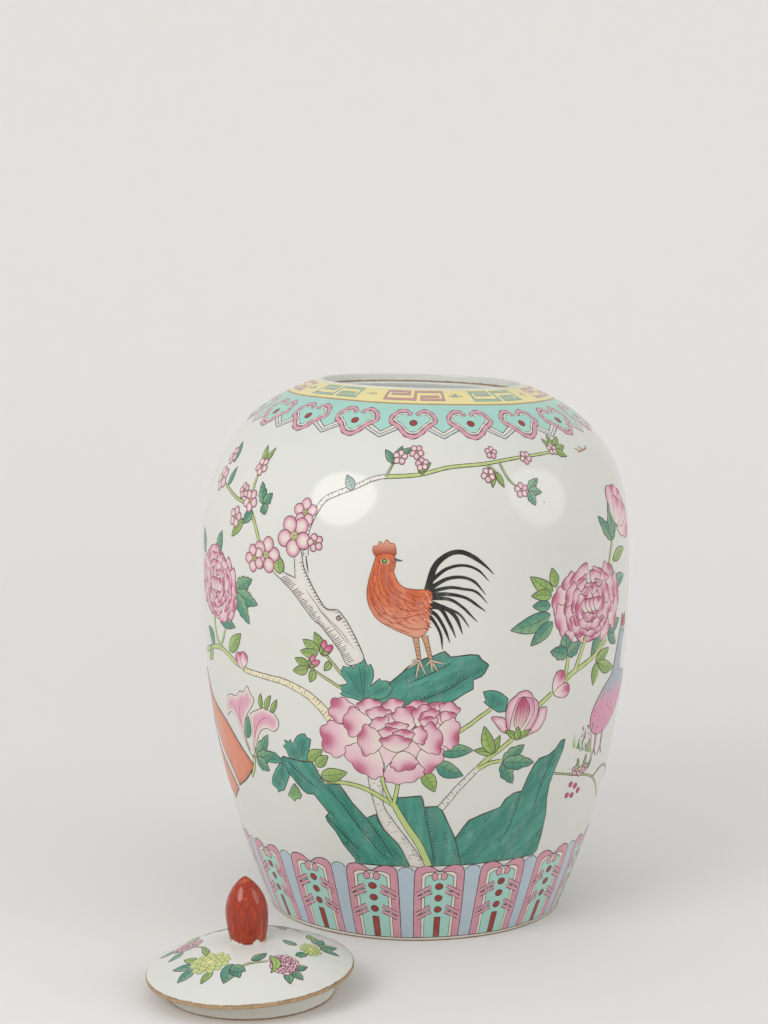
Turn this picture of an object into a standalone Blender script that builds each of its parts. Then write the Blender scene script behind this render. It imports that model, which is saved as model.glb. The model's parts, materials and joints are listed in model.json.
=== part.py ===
"""A round-shouldered porcelain ginger jar, standing open with its lid set down in front of it.

Metres, +Z up. Everything stands on Z = 0, and the origin is the middle of the ground that the pair covers.
The jar is thrown in two halves that are luted together at the widest level. A short collar finishes the mouth,
and a ledge inside it carries the lid. The lid is a domed cap with a locating flange below and a bud on top.
The pieces are modelled one by one, with a hairline gap where they were luted.
"""

import math

import bmesh
import bpy
from mathutils import Matrix, Vector

# Jar body
BELLY_RADIUS = 0.1378
BELLY_HEIGHT = 0.2158
FOOT_RADIUS = 0.0946
LOWER_FULLNESS = 2.15  # exponent of the curve from foot to belly: higher keeps the wall straighter for longer
SHOULDER_RISE = 0.1323  # from the belly to where the shoulder's curve would close on the axis
SHOULDER_ROUND = 2.24  # exponents of the shoulder's curve, across and up
SHOULDER_SQUARE = 3.07
WALL = 0.0058
FLOOR = 0.0090
FLOOR_CORNER = 0.0140  # inside radius where the wall meets the floor
FOOT_HEIGHT = 0.0080
FOOT_WIDTH = 0.0110

# Lid
CAP_RADIUS = 0.0601
CAP_EDGE = 0.0027  # height of the bare band round the cap
CAP_WALL = 0.0050
DOME_RISE = 0.0167
DOME_FULLNESS = 2.14
FLANGE_RADIUS = 0.0487
FLANGE_HEIGHT = 0.0121
FLANGE_WALL = 0.0045
FINIAL_BASE_RADIUS = 0.0104
FINIAL_RADIUS = 0.0123
FINIAL_WAIST = 0.0155  # height of the bud's widest level above its base
FINIAL_HEIGHT = 0.0372
FINIAL_FULLNESS = 1.3  # higher keeps the bud wider towards its tip

# Mouth, sized from the lid that it takes
CAP_CLEARANCE = 0.0033
FLANGE_CLEARANCE = 0.0022
LIP_WIDTH = 0.0036
LIP_RISE = 0.0010  # how far the lip stands above the shoulder
SEAT_DEPTH = 0.0048  # below the lip
SEAT_THICKNESS = 0.0050
COLLAR_HEIGHT = 0.0130

# Hand-potted unevenness: the mouth and the cap each sit slightly out of level
SHOULDER_LEAN = math.radians(1.6)
SHOULDER_LEAN_LEVEL = 0.1075  # above the belly, where the lean is complete
CAP_LEAN = math.radians(3.2)
CAP_LEAN_TOWARDS = math.radians(31.0)  # bearing of the cap's high side

# Where the lid lies
LID_BEARING = math.radians(242.7)  # from the jar's axis
LID_SPACING = 0.0090  # room between cap and belly, so that the lid can be lifted straight up

GAP = 0.0003  # between pieces that were luted together
EDGE = 0.0008  # rounding of the turned edges
SEGMENTS = 48

MOUTH_RADIUS = CAP_RADIUS + CAP_CLEARANCE
COLLAR_RADIUS = MOUTH_RADIUS + LIP_WIDTH
SEAT_RADIUS = FLANGE_RADIUS + FLANGE_CLEARANCE


def lower_radius(height):
    """Outer radius of the jar between the foot and the belly."""
    share = (BELLY_HEIGHT - height) / BELLY_HEIGHT
    return BELLY_RADIUS - (BELLY_RADIUS - FOOT_RADIUS) * share**LOWER_FULLNESS


def shoulder_height(radius):
    """Height of the jar's outer surface above the belly, at a radius."""
    share = 1 - (radius / BELLY_RADIUS) ** SHOULDER_ROUND
    return BELLY_HEIGHT + SHOULDER_RISE * share ** (1 / SHOULDER_SQUARE)


def dome_height(radius):
    """Height of the cap's upper surface at a radius, before it leans."""
    share = (radius / CAP_RADIUS) ** DOME_FULLNESS
    return FLANGE_HEIGHT + CAP_EDGE + DOME_RISE * (1 - share)


def finial_radius(height):
    """Radius of the bud at a height above its base."""
    if height < FINIAL_WAIST:
        share = (FINIAL_WAIST - height) / FINIAL_WAIST
        return FINIAL_RADIUS - (FINIAL_RADIUS - FINIAL_BASE_RADIUS) * share**2
    share = (height - FINIAL_WAIST) / (FINIAL_HEIGHT - FINIAL_WAIST)
    return FINIAL_RADIUS * max(0.0, 1 - share**2) ** (1 / FINIAL_FULLNESS)


def spread(first, last, count):
    """Evenly spaced values from first to last, both included."""
    return [first + (last - first) * i / (count - 1) for i in range(count)]


def offset_inwards(points, wall):
    """The points of an outer profile (radius, height), moved inwards by the wall along the profile's normal."""
    moved = []
    for i, (radius, height) in enumerate(points):
        before = Vector(points[max(i - 1, 0)])
        after = Vector(points[min(i + 1, len(points) - 1)])
        along = (after - before).normalized()
        moved.append((radius - wall * along.y, height + wall * along.x))
    return moved


def rounded_corner(centre, radius, start_degrees, end_degrees, count=2):
    """Points of an arc that rounds a corner of an outline."""
    angles = [math.radians(a) for a in spread(start_degrees, end_degrees, count)]
    return [(centre[0] + radius * math.cos(a), centre[1] + radius * math.sin(a)) for a in angles]


def ring_outline(inner, outer, bottom, top, edge=EDGE):
    """Closed outline of a turned ring with rounded edges."""
    outline = rounded_corner((outer - edge, bottom + edge), edge, -90, 0)
    outline += rounded_corner((outer - edge, top - edge), edge, 0, 90)
    outline += rounded_corner((inner + edge, top - edge), edge, 90, 180)
    outline += rounded_corner((inner + edge, bottom + edge), edge, 180, 270)
    return outline


def lean(point, angle, towards, pivot_height, full_height):
    """The point tipped about the pivot level, by nothing there and by the whole angle from full_height up."""
    share = min(max((point.z - pivot_height) / (full_height - pivot_height), 0.0), 1.0)
    share = share * share * (3 - 2 * share)
    pivot = Vector((0, 0, pivot_height))
    across = Vector((math.sin(towards), -math.cos(towards), 0))
    return pivot + Matrix.Rotation(angle * share, 4, across) @ (point - pivot)


def lean_jar(point):
    """The shoulder sank a little to the right in the kiln."""
    return lean(point, SHOULDER_LEAN, math.pi, BELLY_HEIGHT, BELLY_HEIGHT + SHOULDER_LEAN_LEVEL)


def lean_cap(point):
    """The cap sits out of level on its flange, whose lower edge is flat. The pivot is the flange's top."""
    centre = Vector((0, 0, FLANGE_HEIGHT))
    across = Vector((math.sin(CAP_LEAN_TOWARDS), -math.cos(CAP_LEAN_TOWARDS), 0))
    share = min(max(point.z / (FLANGE_HEIGHT - GAP), 0.0), 1.0)
    turned = centre + Matrix.Rotation(CAP_LEAN, 4, across) @ (point - centre)
    return point.lerp(turned, share)


def new_material(name, colour, roughness, metallic=0.0):
    """A Principled material with a plain colour."""
    material = bpy.data.materials.new(name)
    material.use_nodes = True
    shader = material.node_tree.nodes["Principled BSDF"]
    shader.inputs["Base Color"].default_value = (*colour, 1)
    shader.inputs["Roughness"].default_value = roughness
    shader.inputs["Metallic"].default_value = metallic
    return material


def turned_piece(name, outline, material, parent, shape=None):
    """A solid of revolution from an outline (radius, height) that is closed, or that starts and ends on the axis."""
    mesh = bpy.data.meshes.new(name)
    work = bmesh.new()
    points = [work.verts.new((radius, 0, height)) for radius, height in outline]
    edges = [work.edges.new(pair) for pair in zip(points, points[1:])]
    if outline[0][0] > 0:
        edges.append(work.edges.new((points[-1], points[0])))
    bmesh.ops.spin(
        work, geom=points + edges, cent=(0, 0, 0), axis=(0, 0, 1), angle=2 * math.pi, steps=SEGMENTS, use_merge=True
    )
    bmesh.ops.remove_doubles(work, verts=work.verts, dist=1e-6)
    bmesh.ops.recalc_face_normals(work, faces=work.faces)
    if shape:
        for vertex in work.verts:
            vertex.co = shape(vertex.co.copy())
    work.to_mesh(mesh)
    work.free()
    mesh.materials.append(material)
    mesh.shade_smooth()
    mesh.set_sharp_from_angle(angle=math.radians(35))
    piece = bpy.data.objects.new(name, mesh)
    bpy.context.collection.objects.link(piece)
    piece.parent = parent
    return piece


def new_empty(name, place):
    """An empty that carries the pieces of one body."""
    empty = bpy.data.objects.new(name, None)
    bpy.context.collection.objects.link(empty)
    empty.location = place
    return empty


def foot_ring(parent, material):
    """The turned ring that the jar stands on. Its outer face carries on the line of the body."""
    inner = FOOT_RADIUS - FOOT_WIDTH
    top = FOOT_HEIGHT
    outline = [(inner, EDGE), (inner + EDGE, 0), (FOOT_RADIUS - EDGE, 0), (FOOT_RADIUS, EDGE)]
    outline += [(lower_radius(height), height) for height in spread(top / 2, top, 2)]
    outline.append((inner, top))
    return turned_piece("foot_ring", outline, material, parent)


def lower_body(parent, material):
    """The bowl: floor and wall up to the seam at the belly."""
    bottom = FOOT_HEIGHT + GAP
    wall = [(lower_radius(height), height) for height in spread(bottom, BELLY_HEIGHT - GAP / 2, 11)]
    floor = bottom + FLOOR
    inside = [point for point in offset_inwards(wall, WALL) if point[1] > floor + FLOOR_CORNER + WALL / 2]
    inside[-1] = (BELLY_RADIUS - WALL, BELLY_HEIGHT - GAP / 2)
    inside.reverse()
    corner_height = floor + FLOOR_CORNER
    corner_centre = (lower_radius(corner_height) - WALL - FLOOR_CORNER, corner_height)
    inside += rounded_corner(corner_centre, FLOOR_CORNER, -5, -90, 4)
    return turned_piece("lower_body", [(0, bottom), *wall, *inside, (0, floor)], material, parent)


def upper_body(parent, material):
    """The shoulder half, from the seam at the belly to the collar."""
    edge_radius = COLLAR_RADIUS + GAP
    across = math.acos((edge_radius / BELLY_RADIUS) ** (SHOULDER_ROUND / 2))
    turns = [across * share**1.4 for share in spread(0, 1, 13)]
    radii = [BELLY_RADIUS * math.cos(turn) ** (2 / SHOULDER_ROUND) for turn in turns]
    outside = [(radius, shoulder_height(radius)) for radius in radii]
    outside[0] = (BELLY_RADIUS, BELLY_HEIGHT + GAP / 2)
    inside = offset_inwards(outside, WALL)
    inside[0] = (BELLY_RADIUS - WALL, BELLY_HEIGHT + GAP / 2)
    inside = [point for point in inside if point[0] > edge_radius + WALL / 2]
    inside.append((edge_radius, shoulder_height(edge_radius) - WALL))
    inside.reverse()
    return turned_piece("upper_body", outside + inside, material, parent, lean_jar)


def lip_height():
    """Height of the lip's top before it leans."""
    return shoulder_height(COLLAR_RADIUS) + LIP_RISE


def mouth_rim(parent, material):
    """The low collar round the opening."""
    outline = ring_outline(MOUTH_RADIUS, COLLAR_RADIUS, lip_height() - COLLAR_HEIGHT, lip_height())
    return turned_piece("mouth_rim", outline, material, parent, lean_jar)


def lid_seat(parent, material):
    """The ledge inside the mouth. The cap's rim rests on it, and the flange passes through it."""
    top = lip_height() - SEAT_DEPTH
    outline = ring_outline(SEAT_RADIUS, MOUTH_RADIUS - GAP, top - SEAT_THICKNESS, top)
    return turned_piece("lid_seat", outline, material, parent, lean_jar)


def lid_cap(parent, material):
    """The domed cap, hollow below, with a flat underside outside the flange."""
    inner = FLANGE_RADIUS - FLANGE_WALL
    hollow = [(radius, dome_height(radius) - CAP_WALL) for radius in spread(0, inner - 2 * EDGE, 5)]
    rim = [
        (inner, FLANGE_HEIGHT),
        (CAP_RADIUS - EDGE, FLANGE_HEIGHT),
        (CAP_RADIUS, FLANGE_HEIGHT + EDGE),
        (CAP_RADIUS, FLANGE_HEIGHT + CAP_EDGE),
    ]
    top = [(radius, dome_height(radius)) for radius in spread(CAP_RADIUS - 2 * EDGE, 0, 9)]
    return turned_piece("lid_cap", hollow + rim + top, material, parent, lean_cap)


def lid_flange(parent, material):
    """The ring under the cap that locates it in the seat."""
    outline = ring_outline(FLANGE_RADIUS - FLANGE_WALL, FLANGE_RADIUS, 0, FLANGE_HEIGHT - GAP)
    return turned_piece("lid_flange", outline, material, parent, lean_cap)


def lid_finial(parent, material):
    """The bud-shaped knob on the middle of the cap."""
    foot = [(radius, dome_height(radius) + GAP) for radius in (0, FINIAL_BASE_RADIUS / 2, FINIAL_BASE_RADIUS)]
    start = foot[-1][1] - dome_height(0) - GAP + EDGE
    heights = spread(start, FINIAL_WAIST, 4)[1:] + [
        FINIAL_WAIST + (FINIAL_HEIGHT - FINIAL_WAIST) * math.sin(turn) for turn in spread(0, math.pi / 2, 8)[1:]
    ]
    bud = [(finial_radius(height), dome_height(0) + GAP + height) for height in heights]
    return turned_piece("lid_finial", foot + bud, material, parent, lean_cap)


def centre_on_ground(bodies, pieces):
    """Moves the bodies so that the origin is the middle of the ground that the pieces cover."""
    bpy.context.view_layer.update()
    corners = [piece.matrix_world @ Vector(corner) for piece in pieces for corner in piece.bound_box]
    middle = [(min(c[i] for c in corners) + max(c[i] for c in corners)) / 2 for i in (0, 1)]
    for body in bodies:
        body.location -= Vector((*middle, 0))


def build():
    for old in list(bpy.data.objects):
        bpy.data.objects.remove(old)
    glaze = new_material("glaze", (0.68, 0.69, 0.65), 0.15)
    enamelled = new_material("enamelled_glaze", (0.66, 0.63, 0.62), 0.18)
    bare = new_material("bare_porcelain", (0.52, 0.40, 0.27), 0.6)
    iron_red = new_material("iron_red", (0.42, 0.07, 0.03), 0.2)

    jar = new_empty("jar_axis", (0, 0, 0))
    reach = BELLY_RADIUS + CAP_RADIUS + LID_SPACING
    lid = new_empty("lid_lift_axis", (reach * math.cos(LID_BEARING), reach * math.sin(LID_BEARING), 0))
    pieces = [
        foot_ring(jar, bare),
        lower_body(jar, enamelled),
        upper_body(jar, enamelled),
        mouth_rim(jar, glaze),
        lid_seat(jar, bare),
        lid_cap(lid, enamelled),
        lid_flange(lid, glaze),
        lid_finial(lid, iron_red),
    ]
    centre_on_ground([jar, lid], pieces)


build()
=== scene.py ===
"""A painted porcelain ginger jar with its lid set down beside it: glaze, enamels, studio and camera."""

import json
import math
import random

import bmesh
import bpy
import numpy as np
from mathutils import Matrix, Vector
from mathutils.geometry import delaunay_2d_cdt

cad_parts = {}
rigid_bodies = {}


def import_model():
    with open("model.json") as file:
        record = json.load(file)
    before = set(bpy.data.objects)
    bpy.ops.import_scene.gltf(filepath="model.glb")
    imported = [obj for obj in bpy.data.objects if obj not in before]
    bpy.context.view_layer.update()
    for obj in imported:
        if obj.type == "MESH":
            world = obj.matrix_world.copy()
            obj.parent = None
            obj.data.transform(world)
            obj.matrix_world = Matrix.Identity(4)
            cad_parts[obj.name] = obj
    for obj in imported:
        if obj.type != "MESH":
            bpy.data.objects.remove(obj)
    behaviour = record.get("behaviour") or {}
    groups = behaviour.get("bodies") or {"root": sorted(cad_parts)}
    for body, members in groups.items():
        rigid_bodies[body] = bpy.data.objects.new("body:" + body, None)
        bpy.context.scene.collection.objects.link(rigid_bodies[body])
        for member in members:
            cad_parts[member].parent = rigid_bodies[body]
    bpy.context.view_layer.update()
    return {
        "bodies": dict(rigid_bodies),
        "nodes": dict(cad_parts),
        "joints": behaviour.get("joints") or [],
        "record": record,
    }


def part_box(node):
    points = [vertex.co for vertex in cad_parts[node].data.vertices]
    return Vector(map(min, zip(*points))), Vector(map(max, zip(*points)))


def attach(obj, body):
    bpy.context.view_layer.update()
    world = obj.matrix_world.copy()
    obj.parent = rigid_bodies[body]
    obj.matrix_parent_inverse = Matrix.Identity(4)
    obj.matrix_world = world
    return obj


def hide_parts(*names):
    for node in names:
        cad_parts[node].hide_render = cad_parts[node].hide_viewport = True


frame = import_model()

bl_info = {
    "name": "Ginger Jar",
    "version": (1, 0, 0),
    "blender": (4, 5, 0),
    "location": "3D View > Sidebar > Ginger Jar",
    "description": "Turns, glazes and paints a lidded porcelain ginger jar",
    "category": "Add Mesh",
}

MM = 0.001
TURN = 2 * math.pi
GAP = 0.0003  # between pieces that are luted together
EDGE = 0.0008  # rounding of the turned edges


def middle(node):
    """The middle of a node's box, seen from above."""
    low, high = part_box(node)
    return Vector(((low.x + high.x) / 2, (low.y + high.y) / 2, 0))


def half_width(node):
    low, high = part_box(node)
    return (high.x - low.x) / 2


JAR_AXIS = middle("foot_ring")
LID_AXIS = middle("lid_flange")


# ---------------------------------------------------------------- sizes and colours

def length(name, description, default):
    return bpy.props.FloatProperty(
        name=name, description=description, default=default, min=0.0, precision=5, unit="LENGTH"
    )


def number(name, description, default):
    return bpy.props.FloatProperty(name=name, description=description, default=default, precision=4)


def angle(name, description, degrees):
    return bpy.props.FloatProperty(
        name=name, description=description, default=math.radians(degrees), unit="ROTATION", subtype="ANGLE"
    )


def colour(name, description, red, green, blue):
    """A colour property. The values are the ones that a colour picker shows, from 0 to 255."""
    return bpy.props.FloatVectorProperty(
        name=name, description=description, subtype="COLOR", size=3, min=0, max=1,
        default=tuple(linear(value) for value in (red, green, blue)),
    )


def linear(value):
    share = value / 255
    return share / 12.92 if share <= 0.04045 else ((share + 0.055) / 1.055) ** 2.4


class JarShape(bpy.types.PropertyGroup):
    """The thrown jar."""

    belly_radius: length("Belly radius", "Radius at the widest level", half_width("lower_body"))
    belly_height: length("Belly height", "Height of the widest level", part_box("lower_body")[1].z + GAP / 2)
    foot_radius: length("Foot radius", "Radius where the jar stands", 0.0946)
    lower_fullness: number("Lower fullness", "Higher keeps the lower body wide further down", 2.15)
    shoulder_rise: length("Shoulder rise", "From the belly to where the shoulder would close", 0.1323)
    shoulder_round: number("Shoulder round", "Exponent of the shoulder's curve across", 2.24)
    shoulder_square: number("Shoulder square", "Exponent of the shoulder's curve upwards", 3.07)
    wall: length("Wall", "Thickness of the wall", 0.0058)
    floor: length("Floor", "Thickness of the base", 0.009)
    foot_height: length("Foot height", "Height of the foot ring", 0.008)
    foot_width: length("Foot width", "Width of the foot ring", 0.011)
    mouth_radius: length("Mouth radius", "Inside radius of the lip", 0.0634)
    lip_width: length("Lip width", "Thickness of the lip", 0.0036)
    lip_rise: length("Lip rise", "How far the lip stands above the shoulder", 0.001)
    seat_radius: length("Seat radius", "Inside radius of the ledge that carries the lid", 0.0509)
    seat_depth: length("Seat depth", "Depth of the ledge below the lip", 0.0048)
    seat_thickness: length("Seat thickness", "Thickness of the ledge", 0.005)
    lean: angle("Lean", "How far the mouth is out of level", 1.6)
    lean_level: length("Lean level", "Height above the belly where the lean is complete", 0.1075)
    segments: bpy.props.IntProperty(name="Segments", description="Facets round the jar", default=288, min=24)


class LidShape(bpy.types.PropertyGroup):
    """The lid's cap, flange and bud finial."""

    cap_radius: length("Cap radius", "Radius of the cap", 0.0601)
    cap_edge: length("Cap edge", "Height of the bare band", 0.0027)
    cap_wall: length("Cap wall", "Thickness of the cap", 0.005)
    dome_rise: length("Dome rise", "Rise of the dome", 0.0167)
    dome_fullness: number("Dome fullness", "Exponent of the dome's curve", 2.14)
    flange_radius: length("Flange radius", "Radius of the locating flange", 0.0487)
    flange_height: length("Flange height", "Height of the flange", 0.0121)
    flange_wall: length("Flange wall", "Thickness of the flange", 0.0045)
    finial_base: length("Finial base", "Radius of the bud's base", 0.0104)
    finial_radius: length("Finial radius", "Radius of the bud", 0.0123)
    finial_waist: length("Finial waist", "Height of the bud's widest level", 0.0155)
    finial_height: length("Finial height", "Height of the bud", 0.0372)
    finial_fullness: number("Finial fullness", "Higher keeps the bud wide towards its tip", 1.3)
    lean: angle("Lean", "How far the cap is out of level", 3.2)
    lean_towards: angle("Lean towards", "Bearing of the cap's high side", 31.0)
    segments: bpy.props.IntProperty(name="Segments", description="Facets round the lid", default=192, min=24)


class Enamels(bpy.types.PropertyGroup):
    """The palette."""

    glaze: colour("Glaze", "Pale grey-green glaze", 216, 217, 210)
    outline: colour("Outline", "Sepia line", 64, 44, 42)
    rose: colour("Rose", "Deep rose at the petals' edges", 180, 68, 108)
    pink: colour("Pink", "Rose thinned with white", 210, 144, 170)
    blush: colour("Blush", "The palest rose", 228, 200, 202)
    cream: colour("Cream", "Petal bases and inner bands", 224, 217, 203)
    band_pink: colour("Band pink", "Pink of the borders", 210, 152, 166)
    turquoise: colour("Turquoise", "Ground of the borders", 163, 208, 196)
    teal: colour("Teal", "Thick green of rocks and leaves", 62, 140, 122)
    deep_teal: colour("Deep teal", "Shade of rocks and leaves", 42, 105, 92)
    light_teal: colour("Light teal", "Thin edges of the teal", 104, 178, 158)
    leaf: colour("Leaf", "Yellow-green leaves", 138, 172, 84)
    light_leaf: colour("Light leaf", "Stems and leaf edges", 184, 202, 128)
    yellow: colour("Yellow", "Ground of the fret band", 233, 219, 152)
    ochre: colour("Ochre", "Lines beside the fret band", 168, 140, 90)
    pale_blue: colour("Pale blue", "Strips between the lappets", 176, 192, 203)
    iron_red: colour("Iron red", "Dots and bars", 150, 50, 38)
    orange: colour("Orange", "Cockerel's feathers", 214, 112, 66)
    brick: colour("Brick", "Cockerel's feather strokes", 160, 62, 34)
    black: colour("Black", "Tail feathers", 24, 25, 24)
    bark: colour("Bark", "Whitish bark", 220, 216, 208)
    tan: colour("Tan", "Bare clay at the cap's edge", 186, 158, 122)
    finial: colour("Finial", "Brushed iron red of the bud", 178, 58, 28)


class Studio(bpy.types.PropertyGroup):
    """Backdrop, lamps and lens."""

    backdrop: colour("Backdrop", "Paper sweep", 226, 224, 221)
    backdrop_radius: length("Backdrop radius", "Radius of the level floor", 1.9)
    lens: number("Lens", "Focal length in millimetres", 76.48)
    camera_distance: length("Camera distance", "From the jar's axis, along the floor", 1.3932)
    camera_height: length("Camera height", "Height of the lens", 0.4363)
    camera_tilt: angle("Camera tilt", "Downward tilt", 7.419)
    camera_turn: angle("Camera turn", "Turn to the left", 0.837)


# ---------------------------------------------------------------- forms

LOWER_STEPS = 260  # points on the jar's profile below the belly
SHOULDER_STEPS = 420


def smoothstep(share):
    share = np.clip(share, 0, 1)
    return share * share * (3 - 2 * share)


def scaled(tone, factor):
    return tuple(x * factor for x in tone)


def mixed(first, second, share=0.5):
    return tuple(x * (1 - share) + y * share for x, y in zip(first, second))


def spread(first, last, count):
    """Evenly spaced values, both ends included."""
    return [first + (last - first) * i / (count - 1) for i in range(count)]


def on_profile(profile, along):
    """Radius, height and outward normal (across, up) at distances along a profile."""
    radius, height, distance = profile
    run = np.gradient(radius, distance)
    rise = np.gradient(height, distance)
    size = np.hypot(run, rise)
    values = (radius, height, rise / size, -run / size)
    return [np.interp(along, distance, value) for value in values]


class JarForm:
    """The jar's outer surface, and where a point of its unrolled glaze lies.

    A flat point is (u, v) in millimetres: u runs to the right round the belly from the front,
    and v runs up the profile from the table."""

    def __init__(self, shape):
        self.shape = shape
        low = np.linspace(0, shape.belly_height, LOWER_STEPS)
        share = (shape.belly_height - low) / shape.belly_height
        below = shape.belly_radius - (shape.belly_radius - shape.foot_radius) * share**shape.lower_fullness
        turn = np.linspace(0, math.pi / 2, SHOULDER_STEPS)[1:-1]
        above = shape.belly_radius * np.cos(turn) ** (2 / shape.shoulder_round)
        high = shape.belly_height + shape.shoulder_rise * np.sin(turn) ** (2 / shape.shoulder_square)
        radius = np.concatenate([below, above])
        height = np.concatenate([low, high])
        steps = np.hypot(np.diff(radius), np.diff(height))
        self.profile = (radius, height, np.concatenate([[0], np.cumsum(steps)]))
        self.collar_radius = shape.mouth_radius + shape.lip_width
        self.collar_along = np.interp(-self.collar_radius, -above, self.profile[2][LOWER_STEPS:])

    def lip_height(self):
        share = 1 - (self.collar_radius / self.shape.belly_radius) ** self.shape.shoulder_round
        top = self.shape.shoulder_rise * share ** (1 / self.shape.shoulder_square)
        return self.shape.belly_height + top + self.shape.lip_rise

    def settle(self, points):
        """Upright points leant and moved to where the jar stands."""
        x, y, z = points.T
        up = z - self.shape.belly_height
        tip = self.shape.lean * smoothstep(up / self.shape.lean_level)
        leant = np.stack([
            x * np.cos(tip) + up * np.sin(tip),
            y,
            self.shape.belly_height - x * np.sin(tip) + up * np.cos(tip),
        ], 1)
        return leant + np.array(JAR_AXIS)

    def place(self, flat, lift):
        """Places of flat points, lifted off the glaze by millimetres."""
        bearing = flat[:, 0] * MM / self.shape.belly_radius
        radius, height, across, up = on_profile(self.profile, flat[:, 1] * MM)
        radius = radius + lift * MM * across
        height = height + lift * MM * up
        return self.settle(np.stack([radius * np.sin(bearing), -radius * np.cos(bearing), height], 1))


class LidForm:
    """The lid's dome. A flat point is (x, y) in millimetres from the lid's axis, seen from above."""

    def __init__(self, shape):
        self.shape = shape

    def dome_height(self, radius):
        share = np.clip(radius / self.shape.cap_radius, 0, 1) ** self.shape.dome_fullness
        return self.shape.flange_height + self.shape.cap_edge + self.shape.dome_rise * (1 - share)

    def settle(self, points):
        """Upright points leant on the flange and moved to where the lid lies."""
        pivot = np.array([0, 0, self.shape.flange_height])
        towards = self.shape.lean_towards
        turn = Matrix.Rotation(self.shape.lean, 3, Vector((math.sin(towards), -math.cos(towards), 0)))
        turned = (points - pivot) @ np.array(turn).T + pivot
        share = np.clip(points[:, 2:] / (self.shape.flange_height - GAP), 0, 1)
        return points + (turned - points) * share + np.array(LID_AXIS)

    def place(self, flat, lift):
        x, y = flat.T * MM
        radius = np.hypot(x, y)
        step = 1e-4
        slope = (self.dome_height(radius + step) - self.dome_height(radius - step)) / (2 * step)
        size = np.sqrt(1 + slope**2)
        out = -slope / size * lift * MM / np.maximum(radius, 1e-6)
        height = self.dome_height(radius) + lift * MM / size
        return self.settle(np.stack([x + x * out, y + y * out, height], 1))


# ---------------------------------------------------------------- nodes

class Link:
    """A node's output that takes part in sums."""

    def __init__(self, nodes, socket):
        self.nodes = nodes
        self.socket = socket

    def maths(self, operation, first, second=0.0):
        return self.nodes.add("ShaderNodeMath", {"operation": operation}, {0: first, 1: second})

    def __add__(self, other):
        return self.maths("ADD", self, other)

    def __radd__(self, other):
        return self.maths("ADD", other, self)

    def __sub__(self, other):
        return self.maths("SUBTRACT", self, other)

    def __rsub__(self, other):
        return self.maths("SUBTRACT", other, self)

    def __mul__(self, other):
        return self.maths("MULTIPLY", self, other)

    def __rmul__(self, other):
        return self.maths("MULTIPLY", other, self)

    def within(self, low, high):
        """0 below low, 1 above high, smooth between."""
        return self.nodes.add(
            "ShaderNodeMapRange", {"interpolation_type": "SMOOTHSTEP"},
            {"Value": self, "From Min": low, "From Max": high},
        )


class Nodes:
    """Adds nodes to one tree."""

    def __init__(self, tree):
        self.tree = tree

    def add(self, kind, settings, inputs, output=0):
        """A node of a kind, its settings made first, then its sockets fed with values or links."""
        node = self.tree.nodes.new(kind)
        for name, value in settings.items():
            setattr(node, name, value)
        for name, value in inputs.items():
            self.feed(node.inputs[name], value)
        return Link(self, node.outputs[output])

    def feed(self, socket, value):
        if isinstance(value, Link):
            self.tree.links.new(value.socket, socket)
        elif socket.type == "RGBA":
            socket.default_value = (*value, 1)
        else:
            socket.default_value = value

    def mix(self, share, first, second, blend="MIX"):
        """Two colours mixed."""
        node = self.tree.nodes.new("ShaderNodeMix")
        node.data_type = "RGBA"
        node.blend_type = blend
        self.feed(node.inputs[0], share)
        self.feed(node.inputs[6], first)
        self.feed(node.inputs[7], second)
        return Link(self, node.outputs[2])

    def noise(self, place, scale, detail=3.0, roughness=0.5):
        return self.add("ShaderNodeTexNoise", {}, {"Vector": place, "Scale": scale, "Detail": detail,
            "Roughness": roughness})

    def relief(self, shader, height, strength, distance):
        """Raises the surface by a height."""
        inputs = {"Height": height, "Strength": strength, "Distance": distance}
        self.feed(shader.inputs["Normal"], self.add("ShaderNodeBump", {}, inputs, "Normal"))

    def attribute(self, name, output):
        return self.add("ShaderNodeAttribute", {"attribute_name": name}, {}, output)


SPECK = (0.10, 0.075, 0.055)
BURNT_CLAY = (0.16, 0.075, 0.03)
CHIPPED_CLAY = (0.20, 0.12, 0.065)
ASHY = (0.95, 0.93, 0.88)
THIN_ENAMEL = (0.72, 0.72, 0.68)
POOLED_ENAMEL = (0.62, 0.6, 0.6)
WORN_RED = (0.62, 0.19, 0.09)


def new_material(name):
    """A material with its Principled shader, and where a piece's points lie."""
    material = bpy.data.materials.new(name)
    material.use_nodes = True
    nodes = Nodes(material.node_tree)
    shader = material.node_tree.nodes["Principled BSDF"]
    place = nodes.add("ShaderNodeTexCoord", {}, {}, "Object")
    return material, nodes, shader, place


def stretched(nodes, place, scale):
    """Places squeezed along the axes, for streaks."""
    return nodes.add("ShaderNodeMapping", {}, {"Vector": place, "Scale": scale})


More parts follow.
